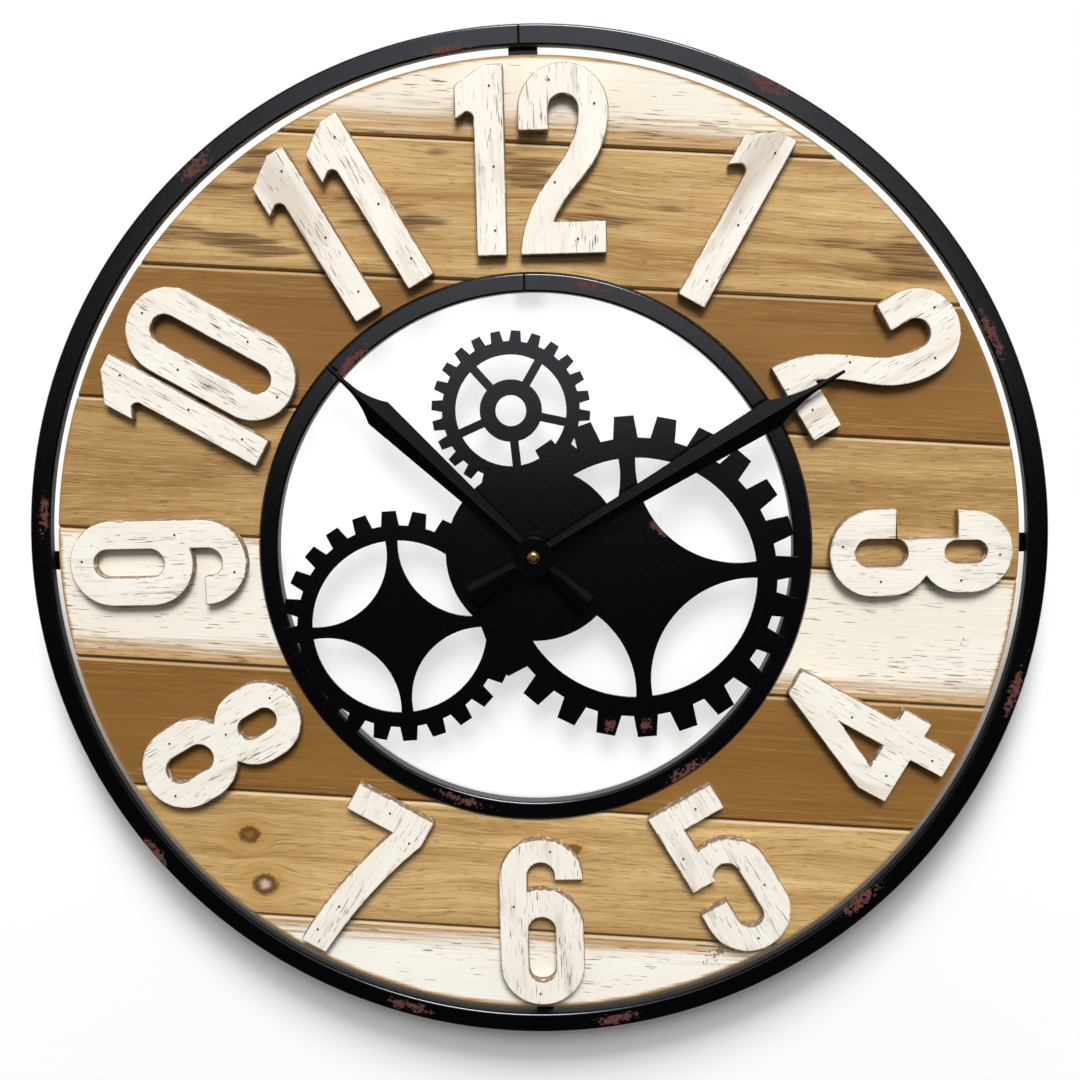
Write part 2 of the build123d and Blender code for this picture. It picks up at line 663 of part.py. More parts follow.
# Hands: the flat outline of blade, spear and tail, folded along its middle, with a round eye
def hand(tip_r, neck_r, shoulder_r, angle, eye_front, bore_r):
    """One hand at its clock angle, its eye standing a little proud of its ridge."""
    ridge = eye_front + HAND_SHEET / 4
    edge = ridge + FOLD_RISE
    half_fold = SHOULDER_WIDTH / 2
    bend = ((SHOULDER_WIDTH + 3 * SPEAR_WIDTH) / 8, (2 * shoulder_r + 3 * neck_r) / 5)
    across = (cos(radians(angle)), 0, -sin(radians(angle)))
    along = (sin(radians(angle)), 0, cos(radians(angle)))
    with BuildPart() as blade:
        with BuildSketch(facing(edge + HAND_SHEET, angle)):
            with BuildLine():
                Polyline(
                    (0, -TAIL_REACH), (TAIL_WIDTH / 2, -TAIL_REACH), (WAIST_WIDTH / 2, 0),
                    (SHOULDER_WIDTH / 2, shoulder_r),
                )
                ThreePointArc((SHOULDER_WIDTH / 2, shoulder_r), bend, (SPEAR_WIDTH / 2, neck_r))
                Line((SPEAR_WIDTH / 2, neck_r), (TIP_WIDTH / 2, tip_r - TIP_WIDTH / 2))
                RadiusArc((TIP_WIDTH / 2, tip_r - TIP_WIDTH / 2), (0, tip_r), -TIP_WIDTH / 2)
                mirror(about=Plane.YZ)
            make_face()
        extrude(amount=FOLD_RISE + HAND_SHEET)
        with BuildSketch(Plane(origin=(0, 0, 0), x_dir=across, z_dir=along)):
            with BuildLine():
                Polyline(
                    (-half_fold, edge), (0, ridge), (half_fold, edge), (half_fold, edge + HAND_SHEET),
                    (0, ridge + HAND_SHEET), (-half_fold, edge + HAND_SHEET), close=True,
                )
            make_face()
        extrude(amount=tip_r, both=True, mode=Mode.INTERSECT)
        with BuildSketch(facing(eye_front + EYE_THICK)):
            Circle(EYE_R)
        extrude(amount=EYE_THICK)
        with BuildSketch(facing(edge + HAND_SHEET)):
            Circle(bore_r)
        extrude(amount=FOLD_RISE + 2 * HAND_SHEET, mode=Mode.SUBTRACT)
    return blade


save(
    hand(MINUTE_TIP_R, MINUTE_NECK_R, MINUTE_SHOULDER_R, MINUTE_ANGLE, MINUTE_EYE_FRONT,
         MINUTE_ARBOR_R + HAND_BORE_PLAY),
    "minute_hand",
)
save(
    hand(HOUR_TIP_R, HOUR_NECK_R, HOUR_SHOULDER_R, HOUR_ANGLE, HOUR_EYE_FRONT, HOUR_TUBE_R + HAND_BORE_PLAY),
    "hour_hand",
)

# Clamp on the gear plate: rubber washer behind it, steel washer and hex nut in front
with BuildPart() as rubber_washer:
    with BuildSketch(facing(CASE_FRONT)):
        Circle(RUBBER_R)
        Circle(STEM_R + STEM_PLAY, mode=Mode.SUBTRACT)
    extrude(amount=RUBBER_THICK)
save(rubber_washer, "rubber_washer")

with BuildPart() as steel_washer:
    with BuildSketch(facing(GEAR_FRONT)):
        Circle(WASHER_R)
        Circle(STEM_R + STEM_PLAY, mode=Mode.SUBTRACT)
    extrude(amount=WASHER_THICK)
save(steel_washer, "steel_washer")

with BuildPart() as fixing_nut:
    with BuildSketch(facing(GEAR_FRONT - WASHER_THICK)):
        RegularPolygon(FIXING_NUT_FLATS / 2, 6, major_radius=False)
        Circle(STEM_R + THREAD_PLAY, mode=Mode.SUBTRACT)
    extrude(amount=FIXING_NUT_THICK)
save(fixing_nut, "fixing_nut")

# Arbor places: each wheel stands where its teeth meet the pinion before it
CENTRE = (0.0, 0.0)
THIRD = stepped(CENTRE, CENTRE_MODULE * (CENTRE_TEETH + TRAIN_LEAVES) / 2, THIRD_BEARING)
SECONDS = stepped(THIRD, TRAIN_MODULE * (THIRD_TEETH + TRAIN_LEAVES) / 2, SECONDS_BEARING)
INTERMEDIATE = stepped(SECONDS, TRAIN_MODULE * (SECONDS_TEETH + TRAIN_LEAVES) / 2, INTERMEDIATE_BEARING)
ROTOR = stepped(INTERMEDIATE, TRAIN_MODULE * (INTERMEDIATE_TEETH + TRAIN_LEAVES) / 2, ROTOR_BEARING)
MOTION_DISTANCE = MOTION_MODULE * (MOTION_LEAVES + MOTION_TEETH) / 2
MOTION = stepped(CENTRE, MOTION_DISTANCE, MOTION_BEARING)
HOUR_MODULE = 2 * MOTION_DISTANCE / (MOTION_LEAVES + HOUR_TEETH)
KNOB = stepped(MOTION, MOTION_MODULE * (MOTION_TEETH + KNOB_LEAVES) / 2, KNOB_BEARING)
TRAIN_ARBORS = (THIRD, SECONDS, INTERMEDIATE, ROTOR)
HOUR_FRONT = CASE_FLOOR + HOUR_LAYER
MOTION_FRONT = CASE_FLOOR + MOTION_LAYER
TRAIN_FRONTS = [CASE_FLOOR + TRAIN_LAYER + step * LAYER_STEP for step in range(4)]
PINION_LEAD = (PINION_LENGTH - WHEEL_THICK) / 2
STATOR_FRONT = CASE_FLOOR + STATOR_LAYER
STATOR_BACK = STATOR_FRONT + STATOR_THICK
BOARD_FRONT = CASE_FLOOR + BOARD_LAYER
BOARD_X = -ROOM_HALF + BOARD_MARGIN + BOARD_WIDTH / 2
BOARD_Z = BOARD_BOTTOM + BOARD_HEIGHT / 2
BOARD_POSTS = [
    (BOARD_X - BOARD_WIDTH / 2 + POST_R, BOARD_Z + end * (BOARD_HEIGHT / 2 - POST_R)) for end in (-1, 1)
]
CORE_LEFT = COIL_X - CORE_WIDTH / 2
CORE_RIGHT = COIL_X + CORE_WIDTH / 2
STATOR_POSTS = [(CORE_LEFT, STATOR_TOP - STATOR_LEG / 2), (CORE_LEFT, STATOR_BOTTOM + STATOR_LEG / 2)]


def rod(place, radius, front, back, mode=Mode.ADD):
    """Round rod along the depth at a place on the dial, in the part at hand."""
    with BuildSketch(facing(back)) as section:
        with Locations(place):
            Circle(radius)
    extrude(section.sketch, amount=back - front, mode=mode)


def sheet(place, face, front, thickness, mode=Mode.ADD):
    """Flat face placed on the dial and thickened backwards from its front, in the part at hand."""
    with BuildSketch(facing(front + thickness)) as section:
        with Locations(place):
            add(face)
    extrude(section.sketch, amount=thickness, mode=mode)


# Brass nut with a rounded front, on the end of the minute arbor
NUT_FRONT = MINUTE_EYE_FRONT - HAND_NUT_HEIGHT
NUT_BORE_FRONT = MINUTE_EYE_FRONT - HAND_NUT_BORE_DEPTH
with BuildPart() as hand_nut:
    rod(CENTRE, HAND_NUT_R, NUT_FRONT, MINUTE_EYE_FRONT)
    fillet(hand_nut.edges().group_by(Axis.Y)[0], radius=HAND_NUT_ROUND)
    rod(CENTRE, HAND_NUT_BORE_R, NUT_BORE_FRONT, MINUTE_EYE_FRONT, mode=Mode.SUBTRACT)
save(hand_nut, "hand_nut")

# Movement case: a tray with the threaded stem, pivot holes, posts and a battery bay open at the back
with BuildPart() as movement_case:
    with BuildSketch(facing(CASE_BACK)):
        with Locations((0, (CASE_TOP + CASE_BOTTOM) / 2)):
            RectangleRounded(CASE_WIDTH, CASE_TOP - CASE_BOTTOM, CASE_CORNER_R)
    extrude(amount=CASE_BACK - CASE_FRONT)
    with BuildSketch(facing(CASE_BACK)):
        block(-ROOM_HALF, -PARTITION_DROP, ROOM_HALF, CASE_TOP - CASE_WALL)
        block(-ROOM_HALF, BAY_BOTTOM, ROOM_HALF, BAY_TOP)
    extrude(amount=CASE_ROOM_DEPTH, mode=Mode.SUBTRACT)
    rod(CENTRE, STEM_R, STEM_FRONT, CASE_FRONT)
    rod(CENTRE, HOUR_TUBE_R + RUNNING_PLAY, STEM_FRONT, CASE_FLOOR, mode=Mode.SUBTRACT)
    rod(MOTION, 2 * PIVOT_R, CASE_FLOOR, MOTION_FRONT + WHEEL_THICK + PINION_LEAD)
    for post in STATOR_POSTS:
        rod(post, POST_R, CASE_FLOOR, STATOR_FRONT)
    for post in BOARD_POSTS:
        rod(post, POST_R, CASE_FLOOR, BOARD_FRONT)
    for place in TRAIN_ARBORS + (KNOB,):
        rod(place, PIVOT_R + RUNNING_PLAY, CASE_FLOOR - PIVOT_DEPTH, CASE_FLOOR, mode=Mode.SUBTRACT)
save(movement_case, "movement_case")

with BuildPart() as movement_cover:
    with BuildSketch(facing(COVER_BACK)):
        block(-CASE_HALF + CASE_CORNER_R, BAY_TOP, CASE_HALF - CASE_CORNER_R, CASE_TOP)
        block(-CASE_HALF, BAY_TOP, CASE_HALF, CASE_TOP - CASE_CORNER_R)
    extrude(amount=CASE_WALL)
    for place in TRAIN_ARBORS:
        rod(place, PIVOT_R + RUNNING_PLAY, CASE_BACK, CASE_BACK + PIVOT_DEPTH, mode=Mode.SUBTRACT)
    rod(CENTRE, 2 * PIVOT_R + RUNNING_PLAY, CASE_BACK, CASE_BACK + PIVOT_DEPTH, mode=Mode.SUBTRACT)
    rod(KNOB, KNOB_SHAFT_R + RUNNING_PLAY, CASE_BACK, COVER_BACK, mode=Mode.SUBTRACT)
save(movement_cover, "movement_cover")

# Motion work: minute arbor with its cannon pinion, motion wheel on its stud, hour wheel and tube
PIVOT_END_GAP = 0.2
CANNON_TURN = MOTION_BEARING
MOTION_TURN = meshed_turn(MOTION_LEAVES, CANNON_TURN, MOTION_BEARING, MOTION_TEETH)
with BuildPart() as minute_arbor:
    rod(CENTRE, MINUTE_ARBOR_R, MINUTE_EYE_FRONT, CASE_BACK - PIVOT_END_GAP)
    rod(CENTRE, HAND_NUT_BORE_R - HAND_BORE_PLAY, NUT_BORE_FRONT + PIVOT_END_GAP, MINUTE_EYE_FRONT)
    rod(CENTRE, 2 * PIVOT_R, CASE_BACK - PIVOT_END_GAP, CASE_BACK + PIVOT_DEPTH - PIVOT_END_GAP)
    cannon = cog(MOTION_LEAVES, MOTION_MODULE, PINION_FORM, CANNON_TURN)
    sheet(CENTRE, cannon, MOTION_FRONT - PINION_LEAD / 2, WHEEL_THICK + PINION_LEAD)
save(minute_arbor, "minute_arbor")

with BuildPart() as motion_wheel:
    sheet(MOTION, cog(MOTION_TEETH, MOTION_MODULE, WHEEL_FORM, MOTION_TURN), MOTION_FRONT, WHEEL_THICK)
    motion_pinion = cog(MOTION_LEAVES, HOUR_MODULE, PINION_FORM, MOTION_BEARING + 180)
    sheet(MOTION, motion_pinion, CASE_FLOOR + PIVOT_END_GAP, MOTION_LAYER - PIVOT_END_GAP)
    rod(MOTION, 2 * PIVOT_R + RUNNING_PLAY, CASE_FLOOR, MOTION_FRONT + WHEEL_THICK, mode=Mode.SUBTRACT)
save(motion_wheel, "motion_wheel")

HOUR_TURN = meshed_turn(MOTION_LEAVES, MOTION_BEARING + 180, MOTION_BEARING + 180, HOUR_TEETH)
with BuildPart() as hour_wheel:
    sheet(CENTRE, cog(HOUR_TEETH, HOUR_MODULE, WHEEL_FORM, HOUR_TURN), HOUR_FRONT, WHEEL_THICK)
    rod(CENTRE, HOUR_TUBE_R, HOUR_EYE_FRONT - HAND_SHEET, HOUR_FRONT + WHEEL_THICK)
    rod(CENTRE, MINUTE_ARBOR_R + RUNNING_PLAY, HOUR_EYE_FRONT - HAND_SHEET, HOUR_FRONT + WHEEL_THICK,
        mode=Mode.SUBTRACT)
save(hour_wheel, "hour_wheel")

with BuildPart() as setting_knob:
    rod(KNOB, PIVOT_R, CASE_FLOOR - PIVOT_DEPTH + PIVOT_END_GAP, CASE_FLOOR + PIVOT_END_GAP)
    rod(KNOB, KNOB_SHAFT_R, CASE_FLOOR + PIVOT_END_GAP, COVER_BACK + KNOB_GAP)
    knob_turn = meshed_turn(MOTION_TEETH, MOTION_TURN, KNOB_BEARING, KNOB_LEAVES)
    sheet(KNOB, cog(KNOB_LEAVES, MOTION_MODULE, PINION_FORM, knob_turn), MOTION_FRONT, WHEEL_THICK)
    grips = toothed(KNOB_GRIPS, KNOB_R - KNOB_GRIP_DEPTH, KNOB_R, 0.8, 0.4)
    sheet(KNOB, grips, COVER_BACK + KNOB_GAP, KNOB_THICK)
save(setting_knob, "setting_knob")


# Going train: rotor, intermediate, seconds, third and centre wheels
def train_wheel(place, wheel, pinion):
    """Wheel and pinion on an arbor pivoted in the case and the cover; each is (outline, front)."""
    with BuildPart() as turned:
        rod(place, ARBOR_R, CASE_FLOOR + PIVOT_END_GAP, CASE_BACK - PIVOT_END_GAP)
        rod(place, PIVOT_R, CASE_FLOOR - PIVOT_DEPTH + PIVOT_END_GAP, CASE_BACK + PIVOT_DEPTH - PIVOT_END_GAP)
        sheet(place, wheel[0], wheel[1], WHEEL_THICK)
        sheet(place, pinion[0], pinion[1] - PINION_LEAD, PINION_LENGTH)
    return turned


def train_pinion(wheel_teeth, wheel_turn, bearing):
    """Pinion outline of the going train, in mesh with the wheel it drives."""
    turn = meshed_turn(wheel_teeth, wheel_turn, bearing, TRAIN_LEAVES)
    module = CENTRE_MODULE if wheel_teeth == CENTRE_TEETH else TRAIN_MODULE
    return cog(TRAIN_LEAVES, module, PINION_FORM, turn)


with BuildPart() as centre_wheel:
    sheet(CENTRE, cog(CENTRE_TEETH, CENTRE_MODULE, WHEEL_FORM, THIRD_BEARING), TRAIN_FRONTS[0], WHEEL_THICK)
    rod(
        CENTRE, MINUTE_ARBOR_R + RUNNING_PLAY, TRAIN_FRONTS[0], TRAIN_FRONTS[0] + WHEEL_THICK,
        mode=Mode.SUBTRACT,
    )
save(centre_wheel, "centre_wheel")

third_wheel = train_wheel(
    THIRD,
    (cog(THIRD_TEETH, TRAIN_MODULE, WHEEL_FORM, SECONDS_BEARING), TRAIN_FRONTS[1]),
    (train_pinion(CENTRE_TEETH, THIRD_BEARING, THIRD_BEARING), TRAIN_FRONTS[0]),
)
save(third_wheel, "third_wheel")

seconds_wheel = train_wheel(
    SECONDS,
    (cog(SECONDS_TEETH, TRAIN_MODULE, WHEEL_FORM, INTERMEDIATE_BEARING), TRAIN_FRONTS[2]),
    (train_pinion(THIRD_TEETH, SECONDS_BEARING, SECONDS_BEARING), TRAIN_FRONTS[1]),
)
save(seconds_wheel, "seconds_wheel")

intermediate_wheel = train_wheel(
    INTERMEDIATE,
    (cog(INTERMEDIATE_TEETH, TRAIN_MODULE, WHEEL_FORM, ROTOR_BEARING), TRAIN_FRONTS[3]),
    (train_pinion(SECONDS_TEETH, INTERMEDIATE_BEARING, INTERMEDIATE_BEARING), TRAIN_FRONTS[2]),
)
save(intermediate_wheel, "intermediate_wheel")

MAGNET_FRONT = STATOR_FRONT + (STATOR_THICK - MAGNET_LENGTH) / 2
with BuildPart() as rotor:
    rod(ROTOR, ARBOR_R, CASE_FLOOR + PIVOT_END_GAP, CASE_BACK - PIVOT_END_GAP)
    rod(ROTOR, PIVOT_R, CASE_FLOOR - PIVOT_DEPTH + PIVOT_END_GAP, CASE_BACK + PIVOT_DEPTH - PIVOT_END_GAP)
    rod(ROTOR, MAGNET_R, MAGNET_FRONT, MAGNET_FRONT + MAGNET_LENGTH)
    rotor_pinion = train_pinion(INTERMEDIATE_TEETH, ROTOR_BEARING, ROTOR_BEARING)
    sheet(ROTOR, rotor_pinion, TRAIN_FRONTS[3] - PINION_LEAD, PINION_LENGTH)
save(rotor, "rotor")

# Stepping motor: a C-shaped stator round the rotor, closed by the coil's core
with BuildPart() as stator:
    with BuildSketch(facing(STATOR_BACK)):
        block(ROTOR[0] - STATOR_WIDTH / 2, STATOR_BOTTOM, ROTOR[0] + STATOR_WIDTH / 2, STATOR_TOP)
        block(ROTOR[0], STATOR_TOP - STATOR_LEG, CORE_RIGHT, STATOR_TOP)
        block(ROTOR[0], STATOR_BOTTOM, CORE_RIGHT, STATOR_BOTTOM + STATOR_LEG)
        with Locations(ROTOR):
            Circle(MAGNET_R + 2 * STATOR_GAP)
            Circle(MAGNET_R + STATOR_GAP, mode=Mode.SUBTRACT)
    extrude(amount=STATOR_THICK)
save(stator, "stator")

with BuildPart() as coil_core:
    with BuildSketch(facing(STATOR_BACK + CORE_THICK)):
        block(CORE_LEFT, STATOR_BOTTOM, CORE_RIGHT, STATOR_TOP)
    extrude(amount=CORE_THICK)
save(coil_core, "coil_core")

COIL_Y = STATOR_BACK + CORE_THICK / 2
COIL_Z = (STATOR_TOP + STATOR_BOTTOM) / 2
with BuildPart() as coil:
    with BuildSketch(Plane.XY.offset(COIL_Z - COIL_LENGTH / 2)):
        with Locations((COIL_X, COIL_Y)):
            Circle(COIL_R)
    extrude(amount=COIL_LENGTH)
    flanges = [COIL_Z - COIL_LENGTH / 2, COIL_Z + COIL_LENGTH / 2 - COIL_FLANGE]
    with BuildSketch(*[Plane.XY.offset(height) for height in flanges]):
        with Locations((COIL_X, COIL_Y)):
            Circle(COIL_R + COIL_FLANGE / 2)
    extrude(amount=COIL_FLANGE)
    with BuildSketch(facing(STATOR_BACK + CORE_THICK)):
        block(CORE_LEFT, STATOR_BOTTOM, CORE_RIGHT, STATOR_TOP)
    extrude(amount=CORE_THICK, mode=Mode.SUBTRACT)
save(coil, "coil")

with BuildPart() as circuit_board:
    with BuildSketch(facing(BOARD_FRONT + BOARD_THICK)):
        with Locations((BOARD_X, BOARD_Z)):
            Rectangle(BOARD_WIDTH, BOARD_HEIGHT)
    extrude(amount=BOARD_THICK)
save(circuit_board, "circuit_board")

# Battery and its contact leaves: a flat one at the nub and a sprung one at the base
SPRING_END = -ROOM_HALF + CONTACT_SPRING + CONTACT_THICK
BATTERY_START = SPRING_END + BATTERY_PLAY
with BuildPart() as battery:
    for start, radius, length in (
        (BATTERY_START, BATTERY_R, BATTERY_LENGTH),
        (BATTERY_START + BATTERY_LENGTH, BATTERY_NUB_R, BATTERY_NUB_LENGTH),
    ):
        with BuildSketch(Plane.YZ.offset(start)):
            with Locations((BATTERY_Y, BATTERY_Z)):
                Circle(radius)
        extrude(amount=length)
save(battery, "battery")

with BuildPart() as contact_plus:
    with BuildSketch(Plane.YZ.offset(ROOM_HALF - CONTACT_THICK)):
        with Locations((BATTERY_Y, BATTERY_Z)):
            Rectangle(CONTACT_WIDTH, CONTACT_WIDTH)
    extrude(amount=CONTACT_THICK)
save(contact_plus, "contact_plus")

with BuildPart() as contact_minus:
    with BuildSketch(facing(BATTERY_Y + CONTACT_WIDTH / 2)):
        wall = -ROOM_HALF
        low = BATTERY_Z - CONTACT_WIDTH / 2
        high = BATTERY_Z + CONTACT_WIDTH / 2
        foot = CONTACT_WIDTH / 6
        add(outline_face([
            (wall, low), (wall + CONTACT_THICK, low), (wall + CONTACT_THICK, low + foot),
            (SPRING_END, BATTERY_Z), (wall + CONTACT_THICK, high - foot), (wall + CONTACT_THICK, high),
            (wall, high), (wall, high - foot), (SPRING_END - CONTACT_THICK, BATTERY_Z), (wall, low + foot),
        ]))
    extrude(amount=CONTACT_WIDTH)
save(contact_minus, "contact_minus")
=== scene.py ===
import math
import bpy
from mathutils import Matrix, Vector


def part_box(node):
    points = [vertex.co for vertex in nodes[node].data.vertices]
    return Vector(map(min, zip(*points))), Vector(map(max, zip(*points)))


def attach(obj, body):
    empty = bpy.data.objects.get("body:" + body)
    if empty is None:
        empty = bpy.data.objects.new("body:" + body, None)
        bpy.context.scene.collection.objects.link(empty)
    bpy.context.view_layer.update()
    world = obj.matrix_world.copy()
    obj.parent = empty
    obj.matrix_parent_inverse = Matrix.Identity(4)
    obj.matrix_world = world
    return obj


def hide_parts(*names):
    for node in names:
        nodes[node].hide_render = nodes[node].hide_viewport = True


# Wooden gear wall clock: whitewashed, natural and stained planks with rubbed white numerals, in chipped
# black steel. The shapes are the model's own; this adds eased edges, weld seams, nails, cross-head screws,
# finishes, wall and light.

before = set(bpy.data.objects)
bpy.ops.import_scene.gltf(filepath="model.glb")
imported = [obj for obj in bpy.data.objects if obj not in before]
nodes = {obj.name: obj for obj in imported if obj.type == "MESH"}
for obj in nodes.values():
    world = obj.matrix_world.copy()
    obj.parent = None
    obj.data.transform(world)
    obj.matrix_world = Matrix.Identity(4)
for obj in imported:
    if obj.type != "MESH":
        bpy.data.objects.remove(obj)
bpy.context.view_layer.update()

# The model's sizes, in millimetres and degrees
MM = 0.001
HOURS = range(1, 13)
PLANK_TILT = 4.3
PLANK_WIDTH = 78.0
PLANK_FRONT = -1.0
PLANK_OUTER_R = 282.8
STRAP_BACK = 9.5
SCREW_ORBITS = (195.1, 247.8)
RIM_WIDTH = 12.0
RING_WIDTH = 11.0
BAND_EDGE_R = 1.5
NUMERAL_R = 222.95
NUMERAL_FRONT = -9.0
DIGIT_HEIGHT = 105.0
DIGIT_WIDTH = 51.0
ONE_WIDTH = 27.7
DIGIT_GAPS = {10: 2.5, 11: 8.0, 12: 7.5}
# The lower hours stand with their feet to the rim
UPRIGHT_HOURS = (4, 5, 6, 7, 8)
# Each numeral is set by hand, this far to the right of and above its even place on the dial
NUMERAL_SHIFTS = {
    1: (3.0, -1.0), 2: (3.0, -2.0), 3: (1.5, -2.5), 4: (-1.0, -2.0), 5: (-1.0, -2.5), 6: (-0.5, -2.5),
    7: (-0.5, -1.5), 8: (3.0, 0.0), 9: (1.5, -0.5), 10: (2.0, -4.0), 11: (5.0, -0.5), 12: (4.5, 1.5),
}

# Sizes of the details that are made here, in millimetres and degrees
BAND_STEPS = 240
SEAM_X = -2.0
SEAM_HALF = 0.7
SEAM_DEPTH = 0.7
SEAM_REACH = 0.01
STEEL_EDGE = 0.3
NUMERAL_EDGE = 1.1
MERGE_WITHIN = 0.02
FLAT_ANGLE = 0.5
SHARP_ANGLE = 30
SMOOTH_ANGLE = 40
NAIL_CORNERS = 12
NAIL_R = 0.6
NAIL_LENGTH = 1.2
NAIL_SHOULDER = 0.22
NAIL_DOME = 0.18
NAIL_SINK = 0.25
NAIL_SMOOTH_ANGLE = 50
SCREW_CORNERS = 32
SCREW_HEAD_R = 3.5
SCREW_HEAD = 2.0
SCREW_HEAD_EDGE = 1.2
SCREW_SHANK_R = 1.75
SCREW_SHANK = 7.5
SCREW_RECESS = (3.6, 2.4, 0.8)
SCREW_TURN = 37
SCREW_SMOOTH_ANGLE = 35
# A face looks straight to the front or the back where its normal passes this share
FACING = 0.9

# Each pattern of a finish starts a step away from the others
PATTERN_STEP = (7.3, 1.7, 3.1)
# Every figure's grain starts this far along and across from the one before
GRAIN_STEP = (211, 57)
# Patches on a face reach this far through the piece
PATCH_DEPTH = 40.0
# Pale and deep tones of the boards' sawn backs
RAW_TONES = (("EBD7B2", "C4A676"), ("DDC193", "AE8C5C"), ("F0E1C3", "CFB489"))


# Finishes
def linear(code):
    """Shader colour of an sRGB hex code."""
    channels = [int(code[place:place + 2], 16) / 255 for place in (0, 2, 4)]
    return [c / 12.92 if c <= 0.04045 else ((c + 0.055) / 1.055) ** 2.4 for c in channels] + [1.0]


def new_finish(name):
    """A material, its node tree and its shader, ready for a pattern."""
    finish = bpy.data.materials.new(name)
    finish.use_nodes = True
    return finish, finish.node_tree, finish.node_tree.nodes["Principled BSDF"]


def fit(tree, made, inputs):
    """Set or link the inputs of a node by name or number."""
    for name, value in inputs.items():
        if isinstance(value, bpy.types.NodeSocket):
            tree.links.new(value, made.inputs[name])
        else:
            made.inputs[name].default_value = value


def node(tree, kind, inputs, **settings):
    """Add a node, choose its settings and fit its inputs."""
    made = tree.nodes.new(kind)
    for name, value in settings.items():
        setattr(made, name, value)
    fit(tree, made, inputs)
    return made


def wood_grain(tree, place, patterns):
    """Noise drawn out along the first axis of a place in millimetres: name, length, width, detail, shift."""
    drawn = {}
    for name, length, width, detail, shift in patterns:
        stretched = node(tree, "ShaderNodeMapping", {
            "Vector": place, "Scale": (1 / length, 1 / width, 1 / width),
            "Location": [shift * step for step in PATTERN_STEP],
        })
        drawn[name] = node(tree, "ShaderNodeTexNoise", {
            "Vector": stretched.outputs[0], "Scale": 1.0, "Detail": detail, "Roughness": 0.6,
        }).outputs["Fac"]
    return drawn


def toned(tree, colour, value, start, end, code, share):
    """Lay a tone over a colour as a value runs from start to end, up to a share of it."""
    amount = node(tree, "ShaderNodeMapRange", {
        "Value": value, "From Min": start, "From Max": end, "To Max": share,
    }, interpolation_type="SMOOTHSTEP").outputs[0]
    return node(tree, "ShaderNodeMix", {0: amount, 6: colour, 7: linear(code)}, data_type="RGBA").outputs[2]


def patch_reach(tree, place, middle, halves, turn=0.0):
    """How far a place is from a patch's middle, 1 at its edge; half sizes run along, through and across."""
    spot = node(tree, "ShaderNodeMapping", {
        "Vector": place, "Location": middle, "Rotation": (0, math.radians(turn), 0), "Scale": halves,
    }, vector_type="TEXTURE").outputs[0]
    return node(tree, "ShaderNodeVectorMath", {0: spot}, operation="LENGTH").outputs["Value"]


def plank_place(tree):
    """Place on a plank in millimetres, first axis along it."""
    seen = node(tree, "ShaderNodeTexCoord", {}).outputs["Object"]
    return node(tree, "ShaderNodeMapping", {
        "Vector": seen, "Scale": (1000, 1000, 1000), "Rotation": (0, -math.radians(PLANK_TILT), 0),
    }).outputs[0]


def on_plank(x, z):
    """A point of the dial's front, x to the right and z up, as a place on a plank."""
    turn = math.radians(PLANK_TILT)
    return (x * math.cos(turn) - z * math.sin(turn), PLANK_FRONT, x * math.sin(turn) + z * math.cos(turn))


def plank_edges(tree, place):
    """Millimetres above a plank's lower joint, from its nearer joint and from the middle of the dial."""
    height = node(tree, "ShaderNodeSeparateXYZ", {0: place}).outputs["Z"]
    above = node(tree, "ShaderNodeMath", {0: height, 1: PLANK_WIDTH}, operation="FLOORED_MODULO").outputs[0]
    joint = node(tree, "ShaderNodeMath", {0: height, 1: PLANK_WIDTH / 2}, operation="PINGPONG").outputs[0]
    flat = node(tree, "ShaderNodeVectorMath", {0: place, 1: (1.0, 0.0, 1.0)}, operation="MULTIPLY").outputs[0]
    radius = node(tree, "ShaderNodeVectorMath", {0: flat}, operation="LENGTH").outputs["Value"]
    return above, joint, radius


def raw_back(tree, colour, grain, place, joint, row):
    """Leave a board's back raw: pale sawn wood of the board's own tone, with saw marks and open joints."""
    pale, deep = RAW_TONES[row % len(RAW_TONES)]
    raw = node(tree, "ShaderNodeMix", {
        0: grain, 6: linear(deep), 7: linear(pale),
    }, data_type="RGBA").outputs[2]
    raw = toned(tree, raw, grain, 0.54, 0.74, deep, 0.6)
    # Wide bands of the board's figure, 12 mm across, and dark streaks of 5 mm in them
    figure = wood_grain(tree, place, [("band", 280, 12, 2.0, row + 11), ("streak", 190, 5, 3.0, row + 13)])
    raw = toned(tree, raw, figure["band"], 0.48, 0.66, deep, 0.75)
    raw = toned(tree, raw, figure["streak"], 0.56, 0.70, "8E6B3E", 0.55)
    # Saw marks about 4 mm apart run unevenly across the board; a wave's own step is 0.314 over its scale
    saw = node(tree, "ShaderNodeTexWave", {
        "Vector": place, "Scale": 0.314 / 4, "Distortion": 9.0, "Detail": 2.0, "Detail Scale": 0.25,
    }, bands_direction="X").outputs["Fac"]
    raw = toned(tree, raw, saw, 0.60, 1.0, deep, 0.16)
    raw = toned(tree, raw, joint, 6.0, 0.5, deep, 0.5)
    raw = toned(tree, raw, joint, 1.1, 0.4, "3B2813", 0.92)
    facing = node(tree, "ShaderNodeNewGeometry", {}).outputs["True Normal"]
    rear = node(tree, "ShaderNodeSeparateXYZ", {0: facing}).outputs["Y"]
    rear = node(tree, "ShaderNodeMath", {0: rear, 1: 0.6}, operation="GREATER_THAN").outputs[0]
    return node(tree, "ShaderNodeMix", {0: rear, 6: colour, 7: raw}, data_type="RGBA").outputs[2]


